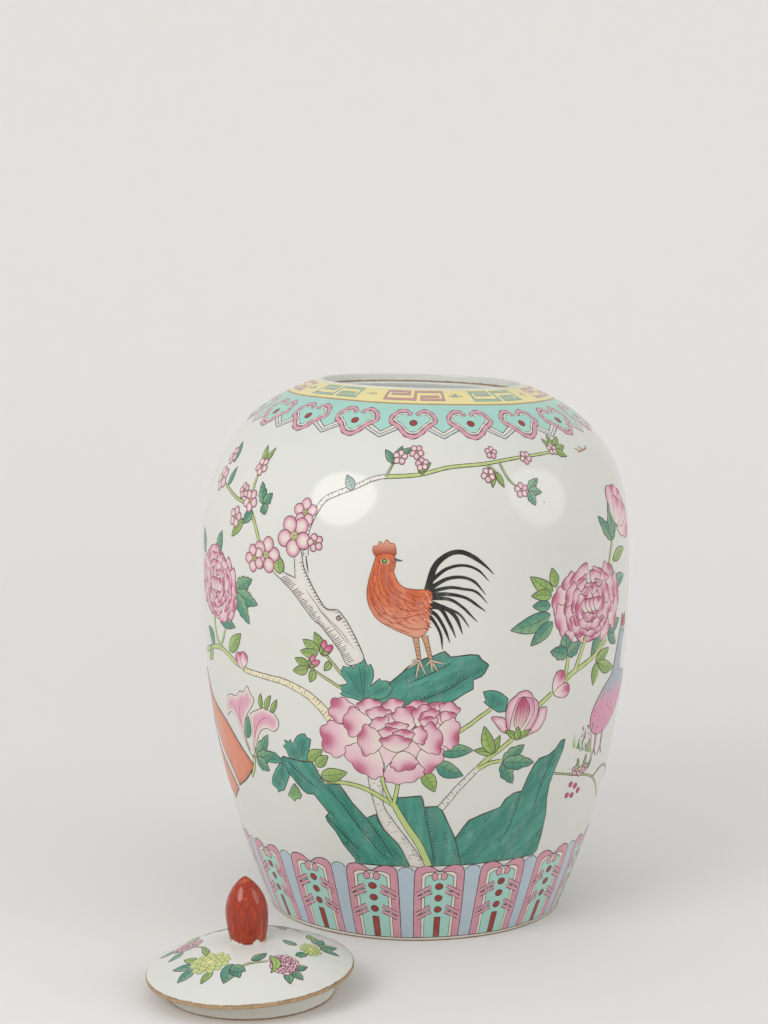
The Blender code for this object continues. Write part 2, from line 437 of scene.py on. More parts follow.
def glaze_over_clay(enamels):
    """Pale glossy glaze down to a bare, burnt edge. The attribute Glazed is millimetres from that edge."""
    material, nodes, shader, place = new_material("glaze_over_clay")
    edge = nodes.attribute("Glazed", "Fac") + (nodes.noise(place, 260.0, 4.0) - 0.5) * 1.1
    glazed = edge.within(-0.12, 0.16)
    cloud = nodes.noise(place, 9.0, 2.0)
    ash = nodes.noise(place, 55.0, 4.0)
    glaze = nodes.mix(cloud.within(0.35, 0.7), enamels.glaze, scaled(enamels.glaze, 0.965))
    dusted = tuple(x * y for x, y in zip(enamels.glaze, ASHY))
    glaze = nodes.mix(ash.within(0.55, 0.8) * 0.35, glaze, dusted)
    speck = nodes.add("ShaderNodeTexVoronoi", {"feature": "F1"}, {"Vector": place, "Scale": 95.0})
    chosen = nodes.noise(place, 31.0, 0.0).within(0.66, 0.69)
    pits = (1.0 - speck.within(0.035, 0.075)) * chosen
    glaze = nodes.mix(pits * 0.8, glaze, SPECK)
    grit = nodes.noise(place, 900.0, 3.0)
    clay = nodes.mix(grit.within(0.3, 0.75), enamels.tan, scaled(enamels.tan, 0.62))
    burnt = edge.within(-1.3, -0.1) * nodes.noise(place, 120.0).within(0.3, 0.7)
    clay = nodes.mix(burnt * 0.75, clay, BURNT_CLAY)
    nodes.feed(shader.inputs["Base Color"], nodes.mix(glazed, clay, glaze))
    gloss = 0.085 + cloud * 0.05 + pits * 0.2
    nodes.feed(shader.inputs["Roughness"], gloss * glazed + (1.0 - glazed) * 0.82)
    ripple = nodes.noise(stretched(nodes, place, (14.0, 14.0, 46.0)), 1.0, 2.0) * 0.35
    ripple = ripple + nodes.noise(place, 26.0, 2.0) * 0.3 - pits * 0.25 - (1.0 - glazed) * (0.25 - grit * 0.2)
    nodes.relief(shader, ripple, 0.16, 0.0012)
    shader.inputs["IOR"].default_value = 1.5
    return material


def fired_enamel():
    """Brushed enamel. Its colour is the attribute Enamel, unevenly loaded as a brush leaves it."""
    material, nodes, shader, place = new_material("fired_enamel")
    streak = 0.13
    tone = nodes.attribute("Enamel", "Color")
    load = nodes.noise(stretched(nodes, place, (150.0, 150.0, 60.0)), 1.0, 4.0, 0.6)
    pool = nodes.noise(place, 70.0, 3.0)
    grain = nodes.noise(place, 1500.0, 2.0)
    thin = nodes.mix(load.within(0.45, 0.85) * streak, tone, THIN_ENAMEL)
    pooled = nodes.mix(1.0, tone, POOLED_ENAMEL, "MULTIPLY")
    deep = nodes.mix(pool.within(0.45, 0.8) * streak, thin, pooled)
    nodes.feed(shader.inputs["Base Color"], deep)
    nodes.feed(shader.inputs["Roughness"], 0.13 + load * 0.16 + grain * 0.05)
    nodes.relief(shader, load * 0.6 + pool * 0.5 + grain * 0.1, 0.3, 0.0004)
    shader.inputs["IOR"].default_value = 1.52
    return material


def brushed_red(enamels):
    """Iron red brushed down the bud, chipped at the glaze. Glazed is millimetres above that line."""
    material, nodes, shader, place = new_material("brushed_red")
    above = nodes.attribute("Glazed", "Fac")
    chip = above - (nodes.noise(place, 150.0, 3.0, 0.6) - 0.5) * 19.0 - 1.2
    red = chip.within(-0.75, -0.35)
    streak = nodes.noise(stretched(nodes, place, (900.0, 900.0, 34.0)), 1.0, 3.0, 0.6)
    pale = nodes.noise(stretched(nodes, place, (300.0, 300.0, 40.0)), 1.0, 2.0)
    tone = nodes.mix(streak.within(0.3, 0.72), scaled(enamels.finial, 0.55), enamels.finial)
    tone = nodes.mix(pale.within(0.56, 0.78) * 0.55, tone, WORN_RED)
    edge = chip.within(-1.35, -0.85)
    under = nodes.mix(edge, enamels.glaze, CHIPPED_CLAY)
    nodes.feed(shader.inputs["Base Color"], nodes.mix(red, under, tone))
    nodes.feed(shader.inputs["Roughness"], 0.06 + streak * 0.08 + (1.0 - red) * 0.12)
    nodes.relief(shader, streak * 0.5 + red * 0.9, 0.2, 0.0003)
    return material


def paper(studio):
    """Matt backdrop paper with a faint painted glow, stronger the further it lies from the middle."""
    material, nodes, shader, place = new_material("backdrop_paper")
    fibre = nodes.noise(place, 260.0, 4.0)
    cloud = nodes.noise(place, 1.4, 2.0)
    tone = nodes.mix(fibre * 0.25 + cloud * 0.3, studio.backdrop, scaled(studio.backdrop, 0.96))
    nodes.feed(shader.inputs["Base Color"], tone)
    # Painted light: the paper glows, more the further a point lies from the middle of the floor.
    far = nodes.add("ShaderNodeVectorMath", {"operation": "LENGTH"}, {0: place}, "Value")
    nodes.feed(shader.inputs["Emission Color"], nodes.mix(far.within(-0.7, 2.1), (0, 0, 0), studio.backdrop))
    shader.inputs["Emission Strength"].default_value = 0.22
    shader.inputs["Roughness"].default_value = 0.9
    shader.inputs["Specular IOR Level"].default_value = 0.2
    return material


def shared_material(name, make):
    """The material of that name, made once."""
    return bpy.data.materials.get(name) or make()


def new_group(name, inputs):
    """A Geometry Nodes tree with one geometry through it and named inputs."""
    tree = bpy.data.node_groups.new(name, "GeometryNodeTree")
    tree.interface.new_socket("Geometry", in_out="INPUT", socket_type="NodeSocketGeometry")
    identifiers = {}
    for label, kind in inputs.items():
        socket = tree.interface.new_socket(label, in_out="INPUT", socket_type="NodeSocket" + kind)
        identifiers[label] = socket.identifier
    tree.interface.new_socket("Geometry", in_out="OUTPUT", socket_type="NodeSocketGeometry")
    nodes = Nodes(tree)
    entry = tree.nodes.new("NodeGroupInput")
    given = {socket.name: Link(nodes, socket) for socket in entry.outputs if socket.name}
    return tree, nodes, given, identifiers


def end_group(tree, nodes, geometry, material):
    """Realize Instances and Set Material, as every tree here ends."""
    geometry = nodes.add("GeometryNodeRealizeInstances", {}, {"Geometry": geometry})
    geometry = nodes.add("GeometryNodeSetMaterial", {}, {"Geometry": geometry, "Material": material})
    leave = tree.nodes.new("NodeGroupOutput")
    nodes.feed(leave.inputs["Geometry"], geometry)


def turning_group():
    """Turns a profile, drawn a metre off as (radius - 1, -height), round the upright axis."""
    tree, nodes, given, identifiers = new_group("Turned Form", {"Segments": "Int", "Material": "Material"})
    profile = nodes.add("GeometryNodeMeshToCurve", {}, {"Mesh": given["Geometry"]})
    circle = nodes.add("GeometryNodeCurvePrimitiveCircle", {}, {"Resolution": given["Segments"],
        "Radius": 1.0})
    turned = nodes.add("GeometryNodeCurveToMesh", {}, {"Curve": circle, "Profile Curve": profile})
    closed = nodes.add("GeometryNodeMergeByDistance", {}, {"Geometry": turned, "Distance": 2e-6})
    smooth = nodes.add("GeometryNodeSetShadeSmooth", {}, {"Geometry": closed, "Shade Smooth": True})
    end_group(tree, nodes, smooth, given["Material"])
    return tree, identifiers


def repeating_group():
    """Repeats a flat motif along its first axis."""
    tree, nodes, given, identifiers = new_group(
        "Repeated Motif", {"Count": "Int", "Spacing": "Float", "First": "Float", "Material": "Material"}
    )
    step = nodes.add("ShaderNodeCombineXYZ", {}, {"X": given["Spacing"]})
    first = nodes.add("ShaderNodeCombineXYZ", {}, {"X": given["First"]})
    inputs = {"Count": given["Count"], "Start Location": first, "Offset": step}
    line = nodes.add("GeometryNodeMeshLine", {}, inputs)
    copies = nodes.add("GeometryNodeInstanceOnPoints", {}, {"Points": line, "Instance": given["Geometry"]})
    end_group(tree, nodes, copies, given["Material"])
    return tree, identifiers


def through_group(mesh, name, make_group, values):
    """The mesh after a Geometry Nodes tree, as a plain mesh."""
    carrier = bpy.data.objects.new(name + "_work", mesh)
    bpy.context.scene.collection.objects.link(carrier)
    modifier = carrier.modifiers.new(name, "NODES")
    tree, identifiers = make_group()
    modifier.node_group = tree
    for label, value in values.items():
        modifier[identifiers[label]] = value
    bpy.context.view_layer.update()
    made = bpy.data.meshes.new_from_object(carrier.evaluated_get(bpy.context.evaluated_depsgraph_get()))
    carrier.modifiers.remove(modifier)
    bpy.data.objects.remove(carrier)
    bpy.data.meshes.remove(mesh)
    bpy.data.node_groups.remove(tree)
    made.name = name
    return made


# ---------------------------------------------------------------- turned pieces

def mesh_points(mesh):
    places = np.empty(len(mesh.vertices) * 3, np.float32)
    mesh.vertices.foreach_get("co", places)
    return places.reshape(-1, 3).astype(float)


def move_points(mesh, places):
    mesh.vertices.foreach_set("co", places.astype(np.float32).ravel())
    mesh.update()


def new_piece(name, mesh, body, slot, *replaced):
    """A finished piece, riding on its body."""
    piece = bpy.data.objects.new(name, mesh)
    bpy.context.scene.collection.objects.link(piece)
    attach(piece, body)
    if replaced:
        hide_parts(*replaced)
    return piece


def rounded(centre, radius, first, last, count=6):
    """Points of an arc that rounds a corner, angles in degrees."""
    turns = [math.radians(a) for a in spread(first, last, count)]
    return [(centre[0] + radius * math.cos(a), centre[1] + radius * math.sin(a)) for a in turns]


def ring_outline(inner, outer, bottom, top, edge):
    """Outline of a turned ring with rounded edges, anticlockwise from its lower outer corner."""
    return (
        rounded((outer - edge, bottom + edge), edge, -90, 0)
        + rounded((outer - edge, top - edge), edge, 0, 90)
        + rounded((inner + edge, top - edge), edge, 90, 180)
        + rounded((inner + edge, bottom + edge), edge, 180, 270)
    )


def turned(name, outline, form, material, glazed):
    """A turned mesh from an anticlockwise outline (radius, height): a loop, or one that ends on the axis.

    glazed(radius, height) gives millimetres from the edge of the glaze."""
    flipped = [(radius - 1, -height, 0) for radius, height in reversed(outline)]
    edges = [(i, i + 1) for i in range(len(flipped) - 1)]
    if outline[0][0] > 0:
        edges.append((len(flipped) - 1, 0))
    profile = bpy.data.meshes.new(name)
    profile.from_pydata(flipped, edges, [])
    values = {"Segments": form.shape.segments, "Material": material}
    mesh = through_group(profile, name, turning_group, values)
    upright = mesh_points(mesh)
    bare = mesh.attributes.new("Glazed", "FLOAT", "POINT")
    bare.data.foreach_set("value", glazed(np.hypot(upright[:, 0], upright[:, 1]), upright[:,
        2]).astype(np.float32))
    move_points(mesh, form.settle(upright))
    mesh.set_sharp_from_angle(angle=math.radians(50))
    return mesh


# ---------------------------------------------------------------- flat lines

def flow(points, closed=False, step=1.2):
    """A smooth line through points. A point given twice running is a corner."""
    points = [np.array(point, float) for point in points]
    corners = [i for i in range(len(points) - 1) if np.array_equal(points[i], points[i + 1])]
    if closed and not corners:
        padded = [points[-1], *points, points[0], points[1]]
        return through(padded, step)[:-1]
    if closed:
        first = corners[0] + 1
        points = points[first:] + points[:first]
    runs = [[points[0]]]
    for before, here in zip(points, points[1:]):
        if np.array_equal(before, here):
            runs.append([])
        runs[-1].append(here)
    line = []
    for run in runs:
        if len(run) > 1:
            padded = [2 * run[0] - run[1], *run, 2 * run[-1] - run[-2]]
            line.extend(through(padded, step)[bool(line):])
    return np.array(line[:-1] if closed else line)


def through(padded, step):
    """A smooth line through all points but the first and last, which only steer it."""
    line = []
    for a, b, c, d in zip(padded, padded[1:], padded[2:], padded[3:]):
        count = max(1, math.ceil(np.linalg.norm(c - b) / step))
        for t in np.arange(count) / count:
            bend = 2 * b + (c - a) * t + (2 * a - 5 * b + 4 * c - d) * t**2 + (3 * b - a - 3 * c + d) * t**3
            line.append(bend / 2)
    line.append(padded[-2])
    return np.array(line)


def ring(centre, across, upwards, count=20, turn=0.0):
    turns = np.arange(count) / count * TURN
    x, y = across * np.cos(turns), upwards * np.sin(turns)
    return np.stack([
        centre[0] + x * math.cos(turn) - y * math.sin(turn),
        centre[1] + x * math.sin(turn) + y * math.cos(turn),
    ], 1)


def mirrored(half):
    """A line and its mirror image in the upright axis, joined where the half starts."""
    return [(-x, y) for x, y in reversed(half)] + list(half)


def moved(points, centre, turn=0.0, size=1.0):
    """Points turned and scaled about nought, then moved to a centre."""
    points = np.array(points, float) * size
    cos, sin = math.cos(turn), math.sin(turn)
    return points @ np.array([(cos, sin), (-sin, cos)]) + np.array(centre, float)


def facing(turn):
    """The direction at an angle."""
    return np.array([math.cos(turn), math.sin(turn)])


def left_of(direction):
    return np.array([-direction[1], direction[0]])


def around(centre, bearing, across, upwards):
    """The point at a bearing on an ellipse."""
    return centre[0] + across * math.cos(bearing), centre[1] + upwards * math.sin(bearing)


def distance_to(points, line):
    """How far each point is from a closed line."""
    start = line[None]
    along = np.roll(line, -1, 0)[None] - start
    away = points[:, None] - start
    share = np.clip((away * along).sum(2) / np.maximum((along**2).sum(2), 1e-9), 0, 1)
    return np.sqrt(((away - share[..., None] * along) ** 2).sum(2).min(1))


def finer(outline, step):
    """A closed line with points added where they are further apart than a step."""
    points = []
    for here, after in zip(outline, np.roll(outline, -1, 0)):
        count = max(1, math.ceil(np.linalg.norm(after - here) / step))
        points.extend(here + (after - here) * i / count for i in range(count))
    return np.array(points)


def inside(points, outline):
    """Which points lie inside a closed line."""
    x, y = points[:, 0][:, None], points[:, 1][:, None]
    x0, y0 = outline[:, 0][None], outline[:, 1][None]
    x1, y1 = np.roll(x0, -1), np.roll(y0, -1)
    crossed = (y0 > y) != (y1 > y)
    level = np.where(y1 == y0, 1, y1 - y0)
    return (crossed & (x < (x1 - x0) * (y - y0) / level + x0)).sum(1) % 2 == 1


def faded(share, low, high):
    share = np.asarray(share)[:, None]
    return np.array(low)[None] * (1 - share) + np.array(high)[None] * share


def edged(outline, edge, within, width):
    """A wash that runs from one tone at the outline to another further in."""
    return lambda points: faded(smoothstep(distance_to(points, outline) / width), edge, within)


# ---------------------------------------------------------------- canvas

SHIVER = 0.12  # how unevenly a brush line runs, as a share of its width
SEAM = 0.035  # lift of a painting's edge off the glaze, in millimetres
BODY = 0.12  # lift of the rest of it


class Canvas:
    """Flat painting in millimetres. Later shapes lie on top, and cut what they cover clean away."""

    def __init__(self, name, step=2.4, seed=1):
        self.name = name
        self.step = step
        self.random = random.Random(seed)
        self.points = []
        self.faces = []
        self.areas = []
        self.owners = []
        self.washes = []

    def add(self, points, faces, wash):
        start = len(self.points)
        points = np.array(points, float)
        self.points.extend(map(tuple, points.tolist()))
        for face in faces:
            x, y = points[list(face)].T
            area = (x * np.roll(y, -1) - np.roll(x, -1) * y).sum() / 2
            if abs(area) > 1e-4:
                self.faces.append([start + i for i in (face if area > 0 else list(face)[::-1])])
                self.areas.append(abs(area))
                self.owners.append(len(self.washes))
        self.washes.append(wash)

    def fill(self, outline, wash):
        """Fills an outline with one tone, or with a wash that gives a tone for each point."""
        outline = finer(np.array(outline, float), self.step)
        self.add(outline, [list(range(len(outline)))], wash)
        low, high = outline.min(0), outline.max(0)
        rows = np.arange(math.floor(low[1] / self.step), high[1] / self.step)
        columns = np.arange(math.floor(low[0] / self.step), high[0] / self.step)
        x, y = np.meshgrid(columns * self.step, rows * self.step)
        x = x + (rows[:, None] % 2) * self.step / 2
        grid = np.stack([x.ravel(), y.ravel()], 1)
        grid = grid[inside(grid, outline)]
        if len(grid):
            grid = grid[distance_to(grid, outline) > self.step * 0.35]
            self.points.extend(map(tuple, grid.tolist()))

    def ribbon(self, path, wide, tone, closed=False):
        """A band along a path, as wide at each point as wide says. Returns its two edges."""
        along = np.gradient(path, axis=0)
        if closed:
            along[0] = along[-1] = path[1] - path[-2]
        along /= np.maximum(np.linalg.norm(along, axis=1), 1e-9)[:, None]
        side = np.stack([-along[:, 1], along[:, 0]], 1) * wide[:, None] / 2
        count = len(path)
        faces = [(i, i + 1, count + i + 1, count + i) for i in range(count - 1)]
        self.add(np.concatenate([path + side, path - side]), faces, tone)
        return path + side, path - side

    def stroke(self, path, width, tone, first=0.35, last=0.35, closed=False):
        """A brush line along a path. first and last are the shares of its width left at the ends."""
        path = np.array(path, float)
        if closed:
            path = np.concatenate([path, path[:1]])
        share = np.linspace(0, 1, len(path))
        ends = np.minimum(first + share * 5, 1) * np.minimum(last + (1 - share) * 5, 1)
        shiver = 1 + SHIVER * np.sin(np.arange(len(path)) * 0.9 + self.random.uniform(0, 9))
        self.ribbon(path, width * shiver * (1 if closed else ends), tone, closed)

    def line(self, points, width, tone, first=0.35, last=0.35):
        """A brush line that flows through points."""
        self.stroke(flow(points), width, tone, first, last)

    def tapered(self, points, widths, tone):
        """A band whose width runs evenly through a list of widths."""
        path = flow(points)
        wide = np.interp(np.linspace(0, 1, len(path)), np.linspace(0, 1, len(widths)), widths)
        return self.ribbon(path, wide, tone)

    def bars(self, points, width, tone):
        """A square-cornered line."""
        for a, b in zip(points, points[1:]):
            a, b = np.array(a, float), np.array(b, float)
            along = (b - a) / np.linalg.norm(b - a) * width / 2
            side = left_of(along)
            corners = np.array([a - along - side, b + along - side, b + along + side, a - along + side])
            outline = finer(corners, self.step)
            self.add(outline, [list(range(len(outline)))], tone)

    def shape(self, outline, wash, width, tone):
        """A filled outline with a line round it."""
        self.fill(outline, wash)
        self.stroke(outline, width, tone, closed=True)

    def topmost(self, places, triangles, held):
        """The last face over each triangle, or -1. A claim far beyond a face's own area is checked."""
        claims = np.array([(i, face) for i, faces in enumerate(held) for face in faces])
        a, b, c = (places[triangles[:, i]] for i in range(3))
        sizes = (b[:, 0] - a[:, 0]) * (c[:, 1] - a[:, 1]) - (b[:, 1] - a[:, 1]) * (c[:, 0] - a[:, 0])
        sizes = abs(sizes) / 2
        claimed = np.bincount(claims[:, 1], sizes[claims[:, 0]], len(self.faces))
        true = np.ones(len(claims), bool)
        for face in np.nonzero(claimed > np.array(self.areas) * 1.2 + 0.05)[0]:
            mine = np.nonzero(claims[:, 1] == face)[0]
            middles = (a + b + c)[claims[mine, 0]] / 3
            true[mine] = inside(middles, np.array([self.points[i] for i in self.faces[face]]))
        top = np.full(len(triangles), -1)
        np.maximum.at(top, claims[true, 0], claims[true, 1])
        return top

    def mesh(self, lift):
        """The painting as a flat mesh, (u, v) with the lift off the glaze as its third coordinate."""
        solved = delaunay_2d_cdt([Vector(point) for point in self.points], [], self.faces, 0, 1e-4, True)
        places = np.array([tuple(point) for point in solved[0]])
        triangles = np.array(solved[2])
        top = self.topmost(places, triangles, solved[5])
        triangles = triangles[top >= 0]
        owners = np.array(self.owners)[top[top >= 0]]
        edges = np.sort(np.concatenate([triangles[:, (0, 1)], triangles[:, (1, 2)], triangles[:, (2, 0)]]), 1)
        edges, times = np.unique(edges, axis=0, return_counts=True)
        rise = np.full(len(places), lift + BODY)
        rise[edges[times == 1].ravel()] = lift + SEAM
        keys = triangles * len(self.washes) + owners[:, None]
        keys, corners = np.unique(keys.ravel(), return_inverse=True)
        vertex, shape = keys // len(self.washes), keys % len(self.washes)
        flat = places[vertex]
        tones = np.ones((len(flat), 4), np.float32)
        for i in np.unique(shape):
            mine = shape == i
            wash = self.washes[i]
            tones[mine, :3] = wash(flat[mine]) if callable(wash) else wash
        mesh = bpy.data.meshes.new(self.name)
        mesh.from_pydata(np.column_stack([flat, rise[vertex]]).tolist(), [], corners.reshape(-1, 3).tolist())
        mesh.attributes.new("Enamel", "FLOAT_COLOR", "POINT").data.foreach_set("color", tones.ravel())
        return mesh


def lay(mesh, form, body, wobble=0.0):
    """Wraps a flat painting onto its form as a finished piece. wobble is unevenness in millimetres."""
    spots = mesh_points(mesh)
    flat, lift = spots[:, :2].copy(), spots[:, 2]
    wrap = mesh.uv_layers.new(name="OFBake")
    corners = np.empty(len(mesh.loops), np.int32)
    mesh.loops.foreach_get("vertex_index", corners)
    low = flat.min(0)
    wrap.data.foreach_set("uv", ((flat - low) / (flat - low).max()).astype(np.float32)[corners].ravel())
    if wobble:
        bearing = flat[:, 0] * MM / form.shape.belly_radius
        flat[:, 0] += wobble * (np.sin(5 * bearing + 1) + np.sin(11 * bearing + 2))
        flat[:, 1] += wobble * (np.sin(7 * bearing) + np.sin(3 * bearing + 4)) * 0.6
    sides = [form.place(flat + step, 0) - form.place(flat - step, 0) for step in ((0.05, 0), (0, 0.05))]
    normals = np.cross(*sides)
    normals /= np.linalg.norm(normals, axis=1)[:, None]
    move_points(mesh, form.place(flat, lift))
    if not mesh.materials:
        mesh.materials.append(enamel_material())
    mesh.shade_smooth()
    mesh.normals_split_custom_set_from_vertices(normals.tolist())
    return new_piece(mesh.name, mesh, body, "painted_glaze")


def girth():
    """Length round the jar's belly, in millimetres."""
    return TURN * bpy.context.scene.ginger_jar.belly_radius / MM


def enamel_material():
    return shared_material("fired_enamel", fired_enamel)


def paint_jar(canvas, lift=0.0):
    return lay(canvas.mesh(lift), jar_form(), "jar")


def paint_repeated(canvas, count, first, share=1.0):
    """A motif painted once, then repeated round that share of the jar."""
    spacing = girth() / count * share
    values = {"Count": count, "Spacing": spacing, "First": first, "Material": enamel_material()}
    mesh = through_group(canvas.mesh(0.0), canvas.name, repeating_group, values)
    return lay(mesh, jar_form(), "jar", 0.35)


# ---------------------------------------------------------------- borders

RUYI_COUNT = 18
LAPPET_COUNT = 17
FRET_COUNT = 9


def ruyi_sector(e):
    """One head of the band of ruyi heads, with half a chevron on each side."""
    half = girth() / RUYI_COUNT / 2
    canvas = Canvas("ruyi_border", 3.0, 11)
    ground = mirrored([(0, 330), (15.5, 336), (half, 330.5), (half, 357.6)])
    canvas.fill(ground, e.turquoise)
    for side in (1, -1):
        upper = [(13.0 * side, 337.8), (half * side, 330.6)]
        middle_line = [(12.0 * side, 335.0), (half * side, 328.4)]
        lower = [(11.5 * side, 332.6), (half * side, 326.0)]
        canvas.fill(upper + middle_line[::-1], e.cream)
        canvas.fill(middle_line + lower[::-1], mixed(e.pale_blue, e.cream))
        for edge, width in ((upper, 0.6), (middle_line, 0.45), (lower, 0.55)):
            canvas.line(edge, width, e.outline, 1, 1)
    outer = [(0, 327), (4, 328.2), (8, 331.5), (11, 335), (15.5, 337.5), (18, 339.5), (18.5, 342),
        (17, 345.5), (14, 348.5), (10, 350), (6, 349.5), (3.4, 347.6)]
    inner = [(0, 330.0), (3.3, 330.9), (6.6, 333.9), (9.4, 336.8), (13.2, 339.3), (15.1, 341.0),
        (15.3, 342.4), (14, 344.5), (12, 346.3), (9.6, 347.1), (7, 346.6), (5, 345.2)]
    canvas.fill(flow(mirrored(outer), True), e.turquoise)
    for side in (1, -1):
        canvas.fill(ring((3.3 * side, 347.1), 2.1, 1.9), e.outline)
    for path, width, tone in ((inner, 2.0, e.outline), (inner, 1.15, e.cream), (outer, 3.7, e.outline)):
        canvas.line(mirrored(path), width, tone, 0.7, 0.7)
    for side in (1, -1):
        canvas.fill(ring((3.3 * side, 347.1), 1.55, 1.4), e.band_pink)
    canvas.line(mirrored(outer), 2.75, e.band_pink, 0.7, 0.7)
    canvas.shape(ring((0, 338.6), 3.1, 2.5), e.iron_red, 0.5, e.black)
    canvas.line([(-half, 357.3), (0, 357.2), (half, 357.3)], 0.7, e.ochre, 1, 1)
    return canvas


def fret_sector(e, name, tones):
    """Pairs of frets on the yellow band, one for each tone, with a sprig after each."""
    pitch = girth() / FRET_COUNT
    canvas = Canvas(name, 3.2, 12)
    start, end = -pitch / 2, pitch * (len(tones) - 0.5)
    canvas.fill([(start, 357.6), (end, 357.6), (end, 378.4), (start, 378.4)], e.yellow)
    for level, width in ((358.0, 0.9), (377.7, 0.5)):
        canvas.stroke(flow([(start, level), (end, level)], step=4), width, e.ochre, 1, 1)
    half = [(0, 0), (0, -5.3), (-31, -5.3), (-31, 5.3), (-7, 5.3), (-7, 1.3), (-25, 1.3)]
    for i, tone in enumerate(tones):
        for width, shade in ((2.9, mixed(e.outline, e.ochre, 0.3)), (1.8, tone)):
            for turn in (0, math.pi):
                canvas.bars(moved(half, (i * pitch, 368.3), turn), width, shade)
        sprig = (i * pitch + 45 if i + 1 < len(tones) else -pitch + 45, 368.3)
        canvas.bars([(sprig[0] - 7, 368), (sprig[0] + 8, 368)], 1.3, mixed(e.ochre, e.leaf))
        for turn in (0.9, -0.75, 0.35):
            canvas.tapered(moved([(-4.6, 0), (0, 0.4), (4.6, 0)], sprig, turn), [0.5, 1.7, 0.5],
                mixed(e.pale_blue, e.outline, 0.45))
    return canvas


def lappet_sector(e):
    """One lappet of the border above the foot, with half a pale strip on each side."""
    half = girth() / LAPPET_COUNT / 2
    canvas = Canvas("lappet_border", 3.0, 13)
    canvas.fill([(-half, 1.3), (half, 1.3), (half, 2.9), (-half, 2.9)], e.cream)
    strip = mirrored([(0, 55), (20, 55), (21.5, 55.4), (23.5, 56.2), (half, 56.4), (half, 2.9)])
    canvas.fill(strip, scaled(e.pale_blue, 1.02))
    for side in (1, -1):
        top = [(20 * side, 53.5), (21.5 * side, 55.4), (23.5 * side, 56.2), (half * side, 56.4)]
        canvas.line(top, 0.5, e.outline, 1, 1)
    frame = [(0, 53.2), (1.5, 53.6), (5, 56.0), (10, 57.4), (14.5, 57.0), (17.8, 55.0), (19.2, 50),
        (19.6, 40), (20.0, 25), (20.2, 3), (20.2, 3)]
    outline = flow([(-20.2, 3)] + mirrored(frame), True)
    pink = lambda points: faded(0.35 + 0.3 * np.sin(points[:, 1] * 0.45 + points[:,
        0] * 0.3) * np.sin(points[:, 1] * 0.17), e.band_pink, mixed(e.band_pink, e.rose, 0.25))
    canvas.shape(outline, pink, 0.65, e.outline)
    for wide, top, tone in ((13.6, 52.8, e.cream), (11.2, 50.8, e.turquoise)):
        arch = [(0, top), (wide - 4, top - 0.3), (wide - 1, top - 2), (wide, top - 6), (wide, 3), (wide, 3)]
        canvas.shape(flow([(-wide, 3)] + mirrored(arch), True), tone, 0.5, e.outline)
    ties = [(17.2, 36.9, 6.0, 42.2), (17.2, 33.4, 5.4, 38.3), (17.6, 21.6, 6.2, 27.2), (17.6, 18.2, 5.4,
        23.3)]
    for side in (1, -1):
        for width, tone in ((3.0, e.outline), (2.0, e.band_pink)):
            for outer, low, inner, high in ties:
                canvas.line([(outer * side, low), (inner * side, high)], width, tone, 0.9, 0.9)
        canvas.shape(ring((3.6 * side, 49.4), 2.4, 2.8), e.band_pink, 0.5, e.outline)
    canvas.shape(ring((0, 49.4), 1.3, 2.6), e.cream, 0.4, e.outline)
    for level in (42, 33.3, 24.7):
        canvas.shape(ring((0, level), 3.1, 2.3), e.iron_red, 0.5, e.black)
    canvas.shape(flow([(-2.6, 3.6), (-2.6, 3.6), (-2.6, 18.8), (-2.6, 18.8), (2.6, 18.8), (2.6, 18.8),
        (2.6, 3.6), (2.6, 3.6)], True), e.iron_red, 0.5, e.black)
    canvas.stroke(flow([(-half, 2.95), (half, 2.95)], step=3), 0.6, e.outline, 1, 1)
    return canvas


# ---------------------------------------------------------------- motifs

def heading(root, tip):
    """Distance and direction from one point to another."""
    return math.dist(root, tip), math.atan2(tip[1] - root[1], tip[0] - root[0])


def petal(canvas, e, root, tip, width, lobes=3, deep=1.0):
    """A ruffled petal, rose at its outer edge and pale at its root."""
    long, turn = heading(root, tip)
    turns = np.linspace(-math.pi, math.pi, 57)[:-1]
    along = 0.5 + 0.5 * np.cos(turns)
    across = 0.5 * np.sin(turns) * (1 + 0.38 * np.cos(turns))
    ruffle = np.abs(np.sin((turns + 1.75) / 3.5 * math.pi * lobes))
    outer = smoothstep((1.9 - np.abs(turns)) / 0.35)
    size = 1 - outer * (1 - ruffle) * (0.21 if lobes > 1 else 0) * min(1, 3.4 / lobes)
    local = np.stack([(0.5 + (along - 0.5) * size) * long, across * size * width * 1.08], 1)
    outline = moved(local, root, turn)
    tip, root = np.array(tip, float), np.array(root, float)
    direction = (tip - root) / long

    def wash(points):
        out = ((points - root) @ direction) / long
        rim = distance_to(points, outline)
        side = (points - root) @ left_of(direction)
        bank = 0.62 + 0.3 * np.sin(side / width * 7 + long) + 0.2 * np.exp(-rim / 1.2)
        strength = np.clip(smoothstep((out - 0.3) / 0.6) * bank * 1.25 * deep, 0, 1)
        pale = faded(smoothstep(out / 0.5), e.cream, e.blush)
        half = pale * (1 - strength[:, None]) + np.array(e.pink) * strength[:, None]
        darker = np.clip(strength - 0.45, 0, 1)[:, None] * 1.5
        return half * (1 - darker) + np.array(e.rose) * darker

    canvas.fill(outline, wash)
    canvas.stroke(outline, 0.5, mixed(e.outline, e.rose, 0.25), closed=True)


def petals(canvas, e, listed):
    for root, tip, width, lobes, deep in listed:
        petal(canvas, e, root, tip, width, lobes, deep)


